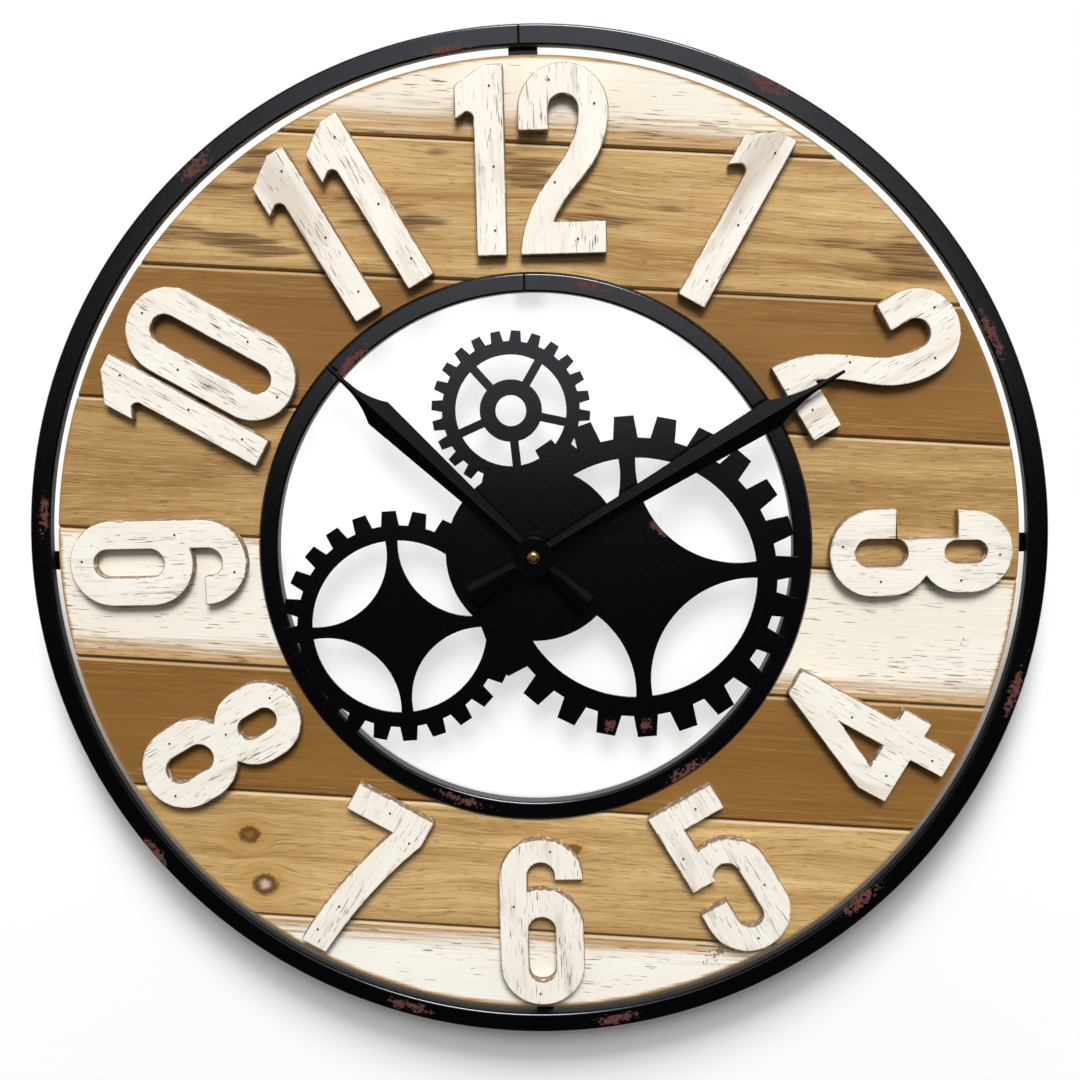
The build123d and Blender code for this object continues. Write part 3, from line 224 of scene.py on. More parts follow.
def natural_wood(row, light, dark, smear, knots=(), crowds=()):
    """Brushed acacia board: a matt, lively face of tan bands, clustered dark lines and fine fibres.

    A knot is x, z, size and the tones of its halo, ring and heart. A crowd of smears is x, z and half sizes.
    """
    finish, tree, shader = new_finish(f"natural acacia board {row}")
    place = plank_place(tree)
    above, joint, radius = plank_edges(tree, place)
    # Slow waves 150 mm long lead the grain up and down by a few millimetres
    wave = wood_grain(tree, place, [("wave", 150, 60, 1.0, row)])["wave"]
    lift = node(tree, "ShaderNodeMapRange", {"Value": wave, "To Min": -10.0, "To Max": 10.0}).outputs[0]
    lifted = node(tree, "ShaderNodeCombineXYZ", {"Z": lift}).outputs[0]
    led = node(tree, "ShaderNodeVectorMath", {0: place, 1: lifted}, operation="ADD").outputs[0]
    # The grain parts round the knots, whose outlines are ragged in steps of about 2 mm
    ragged = node(tree, "ShaderNodeTexNoise", {
        "Vector": place, "Scale": 1 / 2.0, "Detail": 3.0,
    }).outputs["Fac"]
    ragged = node(tree, "ShaderNodeMapRange", {"Value": ragged, "To Min": -1.8, "To Max": 1.8}).outputs[0]
    eyes = []
    for x, z, size, halo, ring, heart in knots:
        away = node(tree, "ShaderNodeVectorMath", {
            0: place, 1: on_plank(x, z),
        }, operation="SUBTRACT").outputs[0]
        flat = node(tree, "ShaderNodeVectorMath", {
            0: away, 1: (0.85, 0.2, 1.0),
        }, operation="MULTIPLY").outputs[0]
        distance = node(tree, "ShaderNodeVectorMath", {0: flat}, operation="LENGTH").outputs["Value"]
        pull = node(tree, "ShaderNodeMapRange", {
            "Value": distance, "From Min": size * 0.6, "From Max": size * 5.0, "To Min": -0.8, "To Max": 0.0,
        }, interpolation_type="SMOOTHERSTEP").outputs[0]
        shift = node(tree, "ShaderNodeVectorMath", {0: away, "Scale": pull}, operation="SCALE").outputs[0]
        across = node(tree, "ShaderNodeVectorMath", {
            0: shift, 1: (0.0, 0.0, 1.0),
        }, operation="MULTIPLY").outputs[0]
        led = node(tree, "ShaderNodeVectorMath", {0: led, 1: across}, operation="ADD").outputs[0]
        rough = node(tree, "ShaderNodeMath", {0: distance, 1: ragged}, operation="ADD").outputs[0]
        eyes.append((distance, rough, size, halo, ring, heart))
    # Bands 15 mm wide, lines 2.2 mm, hairlines 1.1 mm, fibres and pores 0.8 mm, the last two drawn as coarse
    # as they need to show
    grain = wood_grain(tree, led, [
        ("band", 320, 15, 2.0, row), ("zone", 150, 40, 1.0, row + 1), ("line", 130, 2.2, 3.0, row + 3),
        ("fibre", 24, 0.8, 2.0, row + 5), ("pore", 8, 0.8, 0.0, row + 7), ("smear", 75, 13, 2.0, row + 9),
        ("hair", 48, 1.1, 2.0, row + 15),
    ])
    tone = node(tree, "ShaderNodeMapRange", {
        "Value": grain["band"], "From Min": 0.3, "From Max": 0.7,
    }).outputs[0]
    colour = node(tree, "ShaderNodeMix", {
        0: tone, 6: linear(dark), 7: linear(light),
    }, data_type="RGBA").outputs[2]
    colour = toned(tree, colour, grain["zone"], 0.53, 0.72, dark, 0.48)
    colour = toned(tree, colour, grain["zone"], 0.48, 0.30, light, 0.45)
    colour = toned(tree, colour, grain["line"], 0.54, 0.68, "86622F", 0.36)
    colour = toned(tree, colour, grain["line"], 0.47, 0.32, "E0C592", 0.16)
    colour = toned(tree, colour, grain["fibre"], 0.55, 0.70, "6E4E29", 0.48)
    colour = toned(tree, colour, grain["fibre"], 0.45, 0.30, "EEDAB0", 0.34)
    # Smears are clusters of dark lines, not stains
    smeared = grain["smear"]
    for x, z, length, width in crowds:
        away = patch_reach(tree, place, on_plank(x, z), (length, PATCH_DEPTH, width))
        near = node(tree, "ShaderNodeMapRange", {"Value": away, "To Min": 0.22, "To Max": 0.0}).outputs[0]
        smeared = node(tree, "ShaderNodeMath", {0: smeared, 1: near}, operation="ADD").outputs[0]
    cluster = node(tree, "ShaderNodeMapRange", {
        "Value": smeared, "From Min": smear, "From Max": smear + 0.16,
    }, interpolation_type="SMOOTHSTEP").outputs[0]
    colour = toned(tree, colour, cluster, 0.0, 1.0, "7A5830", 0.58)
    streak = node(tree, "ShaderNodeMapRange", {
        "Value": grain["hair"], "From Min": 0.42, "From Max": 0.62,
    }).outputs[0]
    streak = node(tree, "ShaderNodeMath", {0: streak, 1: cluster}, operation="MULTIPLY").outputs[0]
    colour = toned(tree, colour, streak, 0.1, 0.8, "4E331A", 0.75)
    colour = toned(tree, colour, grain["pore"], 0.68, 0.78, "5B3F22", 0.40)
    for distance, rough, size, halo, ring, heart in eyes:
        colour = toned(tree, colour, distance, size * 4.5, size * 1.2, halo, 0.55)
        colour = toned(tree, colour, rough, size * 1.7, size * 1.1, ring, 0.9)
        colour = toned(tree, colour, rough, size * 0.9, size * 0.2, heart, 0.85)
    # The upper bevel, which faces up, is painted pale as a highlight, the board is darker towards its
    # lower joint, its lower bevel, which faces down, is darkened as painted shade, and the cut ends are dark
    colour = toned(tree, colour, above, PLANK_WIDTH - 2.3, PLANK_WIDTH - 1.6, "DCC69E", 0.55)
    colour = toned(tree, colour, above, 9.0, 1.9, "84602F", 0.30)
    colour = toned(tree, colour, above, 2.2, 1.4, "6B4B27", 0.35)
    colour = toned(tree, colour, joint, 0.8, 0.2, "38240F", 0.90)
    colour = toned(tree, colour, radius, PLANK_OUTER_R - 2.0, PLANK_OUTER_R, "9A7340", 0.60)
    colour = raw_back(tree, colour, grain["line"], place, joint, row)
    height = node(tree, "ShaderNodeMath", {0: grain["fibre"], 1: grain["line"]}, operation="ADD").outputs[0]
    bump = node(tree, "ShaderNodeBump", {"Height": height, "Strength": 0.28, "Distance": 0.5 * MM}).outputs[0]
    fit(tree, shader, {
        "Base Color": colour, "Normal": bump, "Roughness": 0.62, "Specular IOR Level": 0.25,
    })
    return finish


def stained_wood(row):
    """Brown-stained board: an even matt stain with only faint fine fibres, most of them near the joints."""
    finish, tree, shader = new_finish(f"brown stained board {row}")
    place = plank_place(tree)
    above, joint, radius = plank_edges(tree, place)
    grain = wood_grain(tree, place, [
        ("cloud", 170, 40, 1.0, row), ("line", 150, 2.6, 2.0, row + 2), ("fibre", 22, 0.9, 2.0, row + 4),
    ])
    colour = node(tree, "ShaderNodeMix", {
        0: grain["cloud"], 6: linear("7D5523"), 7: linear("966C34"),
    }, data_type="RGBA").outputs[2]
    near = node(tree, "ShaderNodeMapRange", {
        "Value": joint, "From Min": 24.0, "From Max": 2.0, "To Min": 0.4, "To Max": 1.0,
    }).outputs[0]
    for name, low, high, code in (
        ("line", 0.54, 0.70, "B48B54"), ("line", 0.46, 0.32, "68461F"), ("fibre", 0.55, 0.72, "5C3E1B"),
        ("fibre", 0.45, 0.30, "AC844E"),
    ):
        amount = node(tree, "ShaderNodeMapRange", {
            "Value": grain[name], "From Min": low, "From Max": high,
        }, interpolation_type="SMOOTHSTEP").outputs[0]
        amount = node(tree, "ShaderNodeMath", {0: amount, 1: near}, operation="MULTIPLY").outputs[0]
        colour = toned(tree, colour, amount, 0.0, 1.0, code, 0.5)
    # Painted highlight on the upper bevel, which faces up; painted shade on the lower bevel, which faces down
    colour = toned(tree, colour, above, PLANK_WIDTH - 2.4, PLANK_WIDTH - 1.6, "C9AD7E", 0.60)
    colour = toned(tree, colour, above, 2.2, 1.4, "5A3C1C", 0.40)
    colour = toned(tree, colour, joint, 0.8, 0.2, "321F0C", 0.90)
    colour = toned(tree, colour, radius, PLANK_OUTER_R - 2.0, PLANK_OUTER_R, "9C7344", 0.60)
    colour = raw_back(tree, colour, grain["line"], place, joint, row)
    bump = node(tree, "ShaderNodeBump", {
        "Height": grain["line"], "Strength": 0.2, "Distance": 0.4 * MM,
    }).outputs[0]
    fit(tree, shader, {
        "Base Color": colour, "Normal": bump, "Roughness": 0.55, "Specular IOR Level": 0.3,
    })
    return finish


def whitewashed_wood(row, white, cream, low_wear, high_wear, sound, flaws=()):
    """Whitewashed board: off-white paint sunk into the grain, thin over golden wood and cracks at the joints.

    The paint wears this far up from the lower joint and down from the upper one, and cracks less the higher
    sound is. A flaw is x, z, reach and share of its tone.
    """
    finish, tree, shader = new_finish(f"whitewashed board {row}")
    place = plank_place(tree)
    above, joint, radius = plank_edges(tree, place)
    grain = wood_grain(tree, place, [
        ("cloud", 140, 36, 1.0, row), ("fibre", 70, 1.5, 3.0, row + 2), ("crack", 17, 0.8, 1.0, row + 4),
        ("patch", 90, 18, 1.0, row + 6), ("band", 170, 3.5, 2.0, row + 8),
    ])
    bare = node(tree, "ShaderNodeMix", {
        0: grain["band"], 6: linear("83551F"), 7: linear("DDB676"),
    }, data_type="RGBA").outputs[2]
    paint = node(tree, "ShaderNodeMix", {
        0: grain["cloud"], 6: linear(white), 7: linear(cream),
    }, data_type="RGBA").outputs[2]
    # The paint thins towards the joints and the cut ends, further in the soft grain than in the hard
    thin = 0.0
    for distance, start, end in (
        (above, low_wear, 0.0), (above, PLANK_WIDTH - high_wear, PLANK_WIDTH),
        (radius, PLANK_OUTER_R - 4.0, PLANK_OUTER_R),
    ):
        near = node(tree, "ShaderNodeMapRange", {
            "Value": distance, "From Min": start, "From Max": end,
        }).outputs[0]
        thin = node(tree, "ShaderNodeMath", {0: thin, 1: near}, operation="MAXIMUM").outputs[0]
    worn = node(tree, "ShaderNodeMath", {
        0: grain["fibre"], 1: 1.3, 2: thin,
    }, operation="MULTIPLY_ADD").outputs[0]
    rubbed = node(tree, "ShaderNodeMapRange", {
        "Value": worn, "From Min": 0.92, "From Max": 1.55, "To Max": 0.95,
    }, interpolation_type="SMOOTHSTEP").outputs[0]
    colour = node(tree, "ShaderNodeMix", {0: rubbed, 6: paint, 7: bare}, data_type="RGBA").outputs[2]
    # Cracks 17 mm long and 0.8 mm wide, drawn as coarse as they show, crowd where the paint is thin
    crowd = node(tree, "ShaderNodeMath", {
        0: thin, 1: 0.07, 2: grain["crack"],
    }, operation="MULTIPLY_ADD").outputs[0]
    crowd = node(tree, "ShaderNodeMath", {
        0: grain["patch"], 1: 0.22, 2: crowd,
    }, operation="MULTIPLY_ADD").outputs[0]
    split = node(tree, "ShaderNodeMapRange", {
        "Value": crowd, "From Min": sound, "From Max": sound + 0.065, "To Max": 0.85,
    }, interpolation_type="SMOOTHSTEP").outputs[0]
    colour = node(tree, "ShaderNodeMix", {
        0: split, 6: colour, 7: linear("6B5030"),
    }, data_type="RGBA").outputs[2]
    # Pits 2 mm across crowd within a few millimetres of a flaw in the board
    for x, z, reach, share in flaws:
        dots = node(tree, "ShaderNodeTexNoise", {
            "Vector": place, "Scale": 1 / 2.0, "Detail": 2.0,
        }).outputs["Fac"]
        away = node(tree, "ShaderNodeVectorMath", {
            0: place, 1: on_plank(x, z),
        }, operation="DISTANCE").outputs["Value"]
        near = node(tree, "ShaderNodeMapRange", {
            "Value": away, "From Max": reach, "To Min": 0.36, "To Max": 0.0,
        }).outputs[0]
        pitted = node(tree, "ShaderNodeMath", {0: near, 1: dots}, operation="ADD").outputs[0]
        colour = toned(tree, colour, pitted, 0.80, 0.90, "6A4D2C", share)
    # Painted highlight on the upper bevel, which faces up; painted shade on the lower bevel, which faces down
    colour = toned(tree, colour, above, PLANK_WIDTH - 2.4, PLANK_WIDTH - 1.6, "DCCBA8", 0.60)
    colour = toned(tree, colour, above, 2.2, 1.4, "7A5830", 0.55)
    colour = toned(tree, colour, joint, 0.8, 0.2, "38240F", 0.90)
    colour = toned(tree, colour, radius, PLANK_OUTER_R - 1.6, PLANK_OUTER_R - 0.4, "A67C46", 0.80)
    colour = raw_back(tree, colour, grain["fibre"], place, joint, row)
    groove = node(tree, "ShaderNodeMath", {0: grain["fibre"], 1: split}, operation="SUBTRACT").outputs[0]
    bump = node(tree, "ShaderNodeBump", {"Height": groove, "Strength": 0.3, "Distance": 0.5 * MM}).outputs[0]
    fit(tree, shader, {
        "Base Color": colour, "Normal": bump, "Roughness": 0.7, "Specular IOR Level": 0.25,
    })
    return finish


def rubbed_numeral_paint():
    """White paint on cut wood, sanded: dark grain in fine dashes along each figure, brown wood at edges."""
    finish, tree, shader = new_finish("rubbed white numeral paint")
    place = node(tree, "ShaderNodeAttribute", {}, attribute_name="figure_grain").outputs["Vector"]
    grain = wood_grain(tree, place, [
        ("cloud", 50, 14, 1.0, 1), ("fibre", 30, 1.0, 2.0, 3), ("crack", 11, 0.65, 1.0, 5),
        ("patch", 55, 10, 1.0, 7), ("rub", 8, 3.0, 3.0, 9), ("wash", 45, 9, 2.0, 11),
    ])
    paint = node(tree, "ShaderNodeMix", {
        0: grain["cloud"], 6: linear("FCF8EE"), 7: linear("EEE6D8"),
    }, data_type="RGBA").outputs[2]
    paint = toned(tree, paint, grain["wash"], 0.54, 0.74, "C9BBA4", 0.50)
    paint = toned(tree, paint, grain["fibre"], 0.58, 0.74, "A8977C", 0.45)
    # The paint is thinnest on the upper halves of two of the ones
    for hour, along, across in ((1, 34.0, 0.0), (11, 30.0, -19.0)):
        middle = (hour * GRAIN_STEP[0] + along, 0, hour * GRAIN_STEP[1] + across)
        thin = patch_reach(tree, place, middle, (52, 99, 16))
        thin = node(tree, "ShaderNodeMath", {0: grain["wash"], 1: thin}, operation="SUBTRACT").outputs[0]
        paint = toned(tree, paint, thin, -0.50, 0.20, "A58D70", 0.40)
    bare = node(tree, "ShaderNodeMix", {
        0: grain["fibre"], 6: linear("3E2C1A"), 7: linear("A5835A"),
    }, data_type="RGBA").outputs[2]
    # A rounded normal leaves the true one only within 2 mm of an edge, and the eased edge itself looks aside
    rounded = node(tree, "ShaderNodeBevel", {"Radius": 2.0 * MM}, samples=6).outputs[0]
    true = node(tree, "ShaderNodeNewGeometry", {}).outputs["True Normal"]
    flatness = node(tree, "ShaderNodeVectorMath", {
        0: rounded, 1: true,
    }, operation="DOT_PRODUCT").outputs["Value"]
    edge = node(tree, "ShaderNodeMapRange", {
        "Value": flatness, "From Min": 1.0, "From Max": 0.85, "To Max": 0.24,
    }).outputs[0]
    side = node(tree, "ShaderNodeSeparateXYZ", {0: true}).outputs["Y"]
    side = node(tree, "ShaderNodeMapRange", {
        "Value": side, "From Min": -0.99, "From Max": -0.80, "To Max": 0.34,
    }).outputs[0]
    worn = node(tree, "ShaderNodeMath", {0: edge, 1: side}, operation="MAXIMUM").outputs[0]
    worn = node(tree, "ShaderNodeMath", {0: worn, 1: grain["rub"]}, operation="ADD").outputs[0]
    rubbed = node(tree, "ShaderNodeMapRange", {
        "Value": worn, "From Min": 0.66, "From Max": 0.82, "To Max": 0.88,
    }, interpolation_type="SMOOTHSTEP").outputs[0]
    colour = node(tree, "ShaderNodeMix", {0: rubbed, 6: paint, 7: bare}, data_type="RGBA").outputs[2]
    # Cracks 11 mm long and 0.65 mm wide come in patches
    crowd = node(tree, "ShaderNodeMath", {
        0: grain["patch"], 1: 0.45, 2: grain["crack"],
    }, operation="MULTIPLY_ADD").outputs[0]
    split = node(tree, "ShaderNodeMapRange", {
        "Value": crowd, "From Min": 0.90, "From Max": 0.96, "To Max": 0.85,
    }, interpolation_type="SMOOTHSTEP").outputs[0]
    colour = node(tree, "ShaderNodeMix", {
        0: split, 6: colour, 7: linear("5A4A38"),
    }, data_type="RGBA").outputs[2]
    groove = node(tree, "ShaderNodeMath", {0: grain["fibre"], 1: split}, operation="SUBTRACT").outputs[0]
    bump = node(tree, "ShaderNodeBump", {"Height": groove, "Strength": 0.3, "Distance": 0.5 * MM}).outputs[0]
    fit(tree, shader, {
        "Base Color": colour, "Normal": bump, "Roughness": 0.7, "Specular IOR Level": 0.25,
    })
    return finish


def black_steel(name, sheen, chips=()):
    """Satin black paint on steel: soft, slightly uneven gloss, with reddish chips where it has gone to rust.

    A chip is x, z, its half length and half width, and its turn in degrees.
    """
    finish, tree, shader = new_finish(name)
    seen = node(tree, "ShaderNodeTexCoord", {}).outputs["Object"]
    place = node(tree, "ShaderNodeMapping", {"Vector": seen, "Scale": (1000, 1000, 1000)}).outputs[0]
    # A 2 mm orange peel
    tone = node(tree, "ShaderNodeTexNoise", {"Vector": place, "Scale": 1 / 2.0, "Detail": 3.0}).outputs["Fac"]
    colour = node(tree, "ShaderNodeMix", {
        0: tone, 6: linear("040405"), 7: linear("08080A"),
    }, data_type="RGBA").outputs[2]
    gloss = node(tree, "ShaderNodeMapRange", {"Value": tone, "To Min": 0.12, "To Max": 0.20}).outputs[0]
    # The spray only grazed the narrow sides, so they are duller than the faces
    facing = node(tree, "ShaderNodeNewGeometry", {}).outputs["True Normal"]
    facing = node(tree, "ShaderNodeSeparateXYZ", {0: facing}).outputs["Y"]
    facing = node(tree, "ShaderNodeMath", {0: facing}, operation="ABSOLUTE").outputs[0]
    dull = node(tree, "ShaderNodeMapRange", {
        "Value": facing, "From Min": 0.55, "From Max": 0.05, "To Max": 0.34,
    }).outputs[0]
    gloss = node(tree, "ShaderNodeMath", {0: gloss, 1: dull}, operation="ADD").outputs[0]
    reach = 0.0
    for x, z, length, width, turn in chips:
        away = patch_reach(tree, place, (x, 0, z), (length, PATCH_DEPTH, width), turn)
        near = node(tree, "ShaderNodeMapRange", {
            "Value": away, "From Min": 0.2, "From Max": 1.0, "To Min": 0.46, "To Max": 0.0,
        }).outputs[0]
        reach = node(tree, "ShaderNodeMath", {0: reach, 1: near}, operation="MAXIMUM").outputs[0]
    if chips:
        # Flakes 2.2 mm across with ragged edges
        flake = node(tree, "ShaderNodeTexNoise", {
            "Vector": place, "Scale": 1 / 2.2, "Detail": 4.0, "Roughness": 0.7,
        }).outputs["Fac"]
        bare = node(tree, "ShaderNodeMath", {0: reach, 1: flake}, operation="ADD").outputs[0]
        bare = node(tree, "ShaderNodeMapRange", {
            "Value": bare, "From Min": 0.88, "From Max": 0.94,
        }, interpolation_type="SMOOTHSTEP").outputs[0]
        rust = node(tree, "ShaderNodeMix", {
            0: tone, 6: linear("2E130E"), 7: linear("774234"),
        }, data_type="RGBA").outputs[2]
        colour = node(tree, "ShaderNodeMix", {0: bare, 6: colour, 7: rust}, data_type="RGBA").outputs[2]
        gloss = node(tree, "ShaderNodeMath", {0: gloss, 1: bare}, operation="ADD", use_clamp=True).outputs[0]
    bump = node(tree, "ShaderNodeBump", {"Height": tone, "Strength": 0.06, "Distance": 0.3 * MM}).outputs[0]
    fit(tree, shader, {
        "Base Color": colour, "Roughness": gloss, "Normal": bump,
        "Specular IOR Level": sheen, "Specular Tint": linear("EFF6FF"),
    })
    return finish


def plain_finish(name, light, dark, grit, roughness, metallic=0.0, drawn=(1.0, 1.0, 1.0)):
    """A worked surface: two close tones and a fine bump at its grit in millimetres, drawn along an axis."""
    finish, tree, shader = new_finish(name)
    seen = node(tree, "ShaderNodeTexCoord", {}).outputs["Object"]
    scale = [1000 / grit / part for part in drawn]
    place = node(tree, "ShaderNodeMapping", {"Vector": seen, "Scale": scale}).outputs[0]
    speck = node(tree, "ShaderNodeTexNoise", {"Vector": place, "Scale": 1.0, "Detail": 2.0}).outputs["Fac"]
    colour = node(tree, "ShaderNodeMix", {
        0: speck, 6: linear(dark), 7: linear(light),
    }, data_type="RGBA").outputs[2]
    gloss = node(tree, "ShaderNodeMapRange", {
        "Value": speck, "To Min": roughness - 0.06, "To Max": roughness + 0.06,
    }).outputs[0]
    bump = node(tree, "ShaderNodeBump", {"Height": speck, "Strength": 0.12, "Distance": 0.2 * MM}).outputs[0]
    fit(tree, shader, {"Base Color": colour, "Roughness": gloss, "Normal": bump, "Metallic": metallic})
    return finish


def dress(finish, *names):
    """Give nodes of the model a finish."""
    for name in names:
        nodes[name].data.materials.clear()
        nodes[name].data.materials.append(finish)


dress(whitewashed_wood(1, "F6F0E2", "E8DDC8", 30.0, 6.0, 0.80), "plank_1")
dress(natural_wood(2, "D5B176", "A37943", 0.57, (), [
    (-158, 222, 46, 17), (-1, 216, 24, 11), (-168, 184, 70, 18), (199, 170, 62, 21),
]), "plank_2")
dress(stained_wood(3), "plank_3_left", "plank_3_right")
dress(natural_wood(4, "C6A169", "9D7743", 0.66), "plank_4_left", "plank_4_right")
dress(whitewashed_wood(5, "FDF9EE", "EEE4D2", 24.0, 8.0, 0.755, [
    (251, -56, 7, 0.5),
]), "plank_5_left", "plank_5_right")
dress(stained_wood(6), "plank_6_left", "plank_6_right")
# Two brown eyes and a dried-out pale one
dress(natural_wood(7, "DEBB7F", "B38B51", 0.68, [
    (-178, -170, 4.0, "B98A45", "5E3B19", "94682F"), (-170, -202, 4.8, "BE8F48", "5A3B1E", "D3C3A6"),
    (20, -182, 2.6, "B98A45", "6A4520", "7A5428"),
]), "plank_7")
dress(whitewashed_wood(8, "FFFCF4", "F6EFE1", 5.0, 20.0, 0.785, [(106, -250, 17, 0.85)]), "plank_8")
dress(rubbed_numeral_paint(), *[f"numeral_{hour}" for hour in HOURS])

# Chips of the rim and the ring lie along the band, those of the gears on a window's edge and two teeth
dress(black_steel("chipped black rim paint", 0.78, [
    (-42, 287, 34, 7, -8), (-188, 227, 29, 9, -40), (-290, 30, 30, 7, -84), (-237, -180, 26, 8, 53),
    (-84, -282, 34, 8, 17), (46, -291, 32, 8, -9), (193, -217, 35, 9, -42), (283, -86, 38, 8, -73),
    (264, 122, 35, 9, 65), (138, 262, 37, 8, 28),
]), "outer_rim")
dress(black_steel("chipped black ring paint", 0.74, [
    (36, 154, 30, 7, 13), (-104, 114, 34, 8, -42), (-48, -149, 36, 7, 18), (88, -133, 34, 9, -34),
]), "inner_ring")
dress(black_steel("chipped black gear paint", 0.68, [
    (73, 14, 20, 7, 41), (43, -104, 10, 10, 20), (64, -104, 10, 10, -20),
]), "gear_plate")
dress(black_steel("black strap paint", 0.5),
      "hanger", "strap_top", "strap_right", "strap_bottom", "strap_left")
dress(black_steel("satin black hand lacquer", 0.24), "minute_hand", "hour_hand")
# Turned brass: warm, bright and finely ringed
dress(plain_finish("turned brass", "F2CE7C", "CFA04A", 0.35, 0.2, 1.0), "hand_nut", "fixing_nut")
# Zinc plated steel: cool grey with a soft, cloudy gloss
ZINC = plain_finish("zinc plated steel", "C9CCCF", "9EA2A6", 0.8, 0.34, 1.0)
dress(ZINC, "plank_screws", "steel_washer", "minute_arbor", "stator", "coil_core",
      "contact_plus", "contact_minus")
# Moulded rubber: dead matt black
dress(plain_finish("moulded rubber", "1C1C1D", "111112", 0.6, 0.85), "rubber_washer")
# Moulded ABS: even near-black with a fine spark-eroded grain
dress(plain_finish("moulded black ABS", "37393C", "27282B", 0.5, 0.42),
      "movement_case", "movement_cover", "setting_knob")
# Moulded acetal: milky white, slightly waxy wheels
dress(plain_finish("moulded white acetal", "F2F0E6", "DEDBCE", 1.2, 0.4),
      "hour_wheel", "motion_wheel", "centre_wheel", "third_wheel", "seconds_wheel", "intermediate_wheel",
      "rotor")
# Enamelled copper wire: fine turns across the coil
dress(plain_finish("enamelled copper winding", "C2703C", "7E3D1C", 0.5, 0.35, 1.0, (6.0, 6.0, 0.6)), "coil")
# Solder-masked board: dull green with a woven cast
dress(plain_finish("green circuit board", "2E6B45", "1C4A2E", 0.9, 0.45), "circuit_board")
# Battery sleeve: dark lacquered film with a metal sheen
dress(plain_finish("dark battery sleeve", "4C5057", "34373D", 2.5, 0.35, 0.6), "battery")


# Eased copies of sharp-edged pieces
def pick(piece):
    """Select one piece alone for the operators that follow."""
    bpy.ops.object.select_all(action="DESELECT")
    bpy.context.view_layer.objects.active = piece
    piece.select_set(True)


def eased(name, edge, body):
    """A merged copy of a node with its sharp edges rounded, standing for the node."""
    piece = bpy.data.objects.new(f"{name}_eased", nodes[name].data.copy())
    bpy.context.collection.objects.link(piece)
    pick(piece)
    bpy.ops.object.mode_set(mode="EDIT")
    bpy.ops.mesh.select_mode(type="EDGE")
    bpy.ops.mesh.select_all(action="SELECT")
    bpy.ops.mesh.remove_doubles(threshold=MERGE_WITHIN * MM)
    bpy.ops.mesh.dissolve_limited(angle_limit=math.radians(FLAT_ANGLE))
    bpy.ops.mesh.select_all(action="DESELECT")
    bpy.ops.mesh.edges_select_sharp(sharpness=math.radians(SHARP_ANGLE))
    bpy.ops.mesh.bevel(offset=edge * MM, segments=3, clamp_overlap=True)
    bpy.ops.object.mode_set(mode="OBJECT")
    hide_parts(name)
    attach(piece, body)
    return piece


def smoothed(piece):
    """Round the look of a piece's eased edges and keep its flats flat."""
    pick(piece)
    bpy.ops.object.shade_smooth_by_angle(angle=math.radians(SMOOTH_ANGLE))
    bpy.ops.object.modifier_add(type="WEIGHTED_NORMAL")
    piece.modifiers[-1].keep_sharp = True
    bpy.ops.object.modifier_apply(modifier=piece.modifiers[-1].name)


def rolled_band(name, width):
    """A steel band spun from its rounded section, with a weld groove across its front at twelve o'clock."""
    low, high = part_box(name)
    bpy.ops.object.select_all(action="DESELECT")
    middle = (high[0] - width * MM / 2, (low[1] + high[1]) / 2, 0)
    bpy.ops.mesh.primitive_plane_add(size=1.0, location=middle)
    piece = bpy.context.object
    piece.name = f"{name}_rolled"
    piece.scale = (width * MM, high[1] - low[1], 1.0)
    bpy.ops.object.transform_apply(location=True, rotation=True, scale=True)
    bpy.ops.object.mode_set(mode="EDIT")
    bpy.ops.mesh.select_mode(type="VERT")
    bpy.ops.mesh.select_all(action="SELECT")
    bpy.ops.mesh.bevel(offset=BAND_EDGE_R * MM, segments=5, affect="VERTICES")
    bpy.ops.mesh.select_all(action="SELECT")
    bpy.ops.mesh.delete(type="ONLY_FACE")
    bpy.ops.mesh.select_all(action="SELECT")
    bpy.ops.mesh.spin(steps=BAND_STEPS, angle=2 * math.pi, center=(0, 0, 0), axis=(0, 1, 0))
    bpy.ops.mesh.select_all(action="SELECT")
    bpy.ops.mesh.remove_doubles(threshold=MERGE_WITHIN * MM)
    bpy.ops.mesh.normals_make_consistent(inside=False)
    # The ends of the band meet in a groove as wide as a saw cut
    for side in (-1, 0, 1):
        bpy.ops.mesh.select_all(action="SELECT")
        bpy.ops.mesh.bisect(plane_co=((SEAM_X + side * SEAM_HALF) * MM, 0, 0), plane_no=(1, 0, 0))
    bpy.ops.mesh.select_all(action="DESELECT")
    bpy.ops.object.mode_set(mode="OBJECT")
    for vertex in piece.data.vertices:
        in_seam = abs(vertex.co.x / MM - SEAM_X) < SEAM_REACH and vertex.co.z > 0
        vertex.select = in_seam and vertex.co.y < low[1] + BAND_EDGE_R * MM
    bpy.ops.object.mode_set(mode="EDIT")
    bpy.ops.transform.translate(value=(0, SEAM_DEPTH * MM, 0))
    bpy.ops.object.mode_set(mode="OBJECT")
    piece.data.materials.append(nodes[name].data.materials[0])
    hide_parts(name)
    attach(piece, "frame")
    return piece


def on_dial(hour):
    """Angle of an hour from twelve, and the middle of its numeral in millimetres."""
    angle = math.radians(hour * 30)
    right, above = NUMERAL_SHIFTS[hour]
    return angle, Vector((NUMERAL_R * math.sin(angle) + right, 0, NUMERAL_R * math.cos(angle) + above))


rim = rolled_band("outer_rim", RIM_WIDTH)
ring = rolled_band("inner_ring", RING_WIDTH)
gears = eased("gear_plate", STEEL_EDGE, "frame")
hands = [
    eased("minute_hand", STEEL_EDGE, "minute"),
    eased("hour_hand", STEEL_EDGE, "hour"),
]

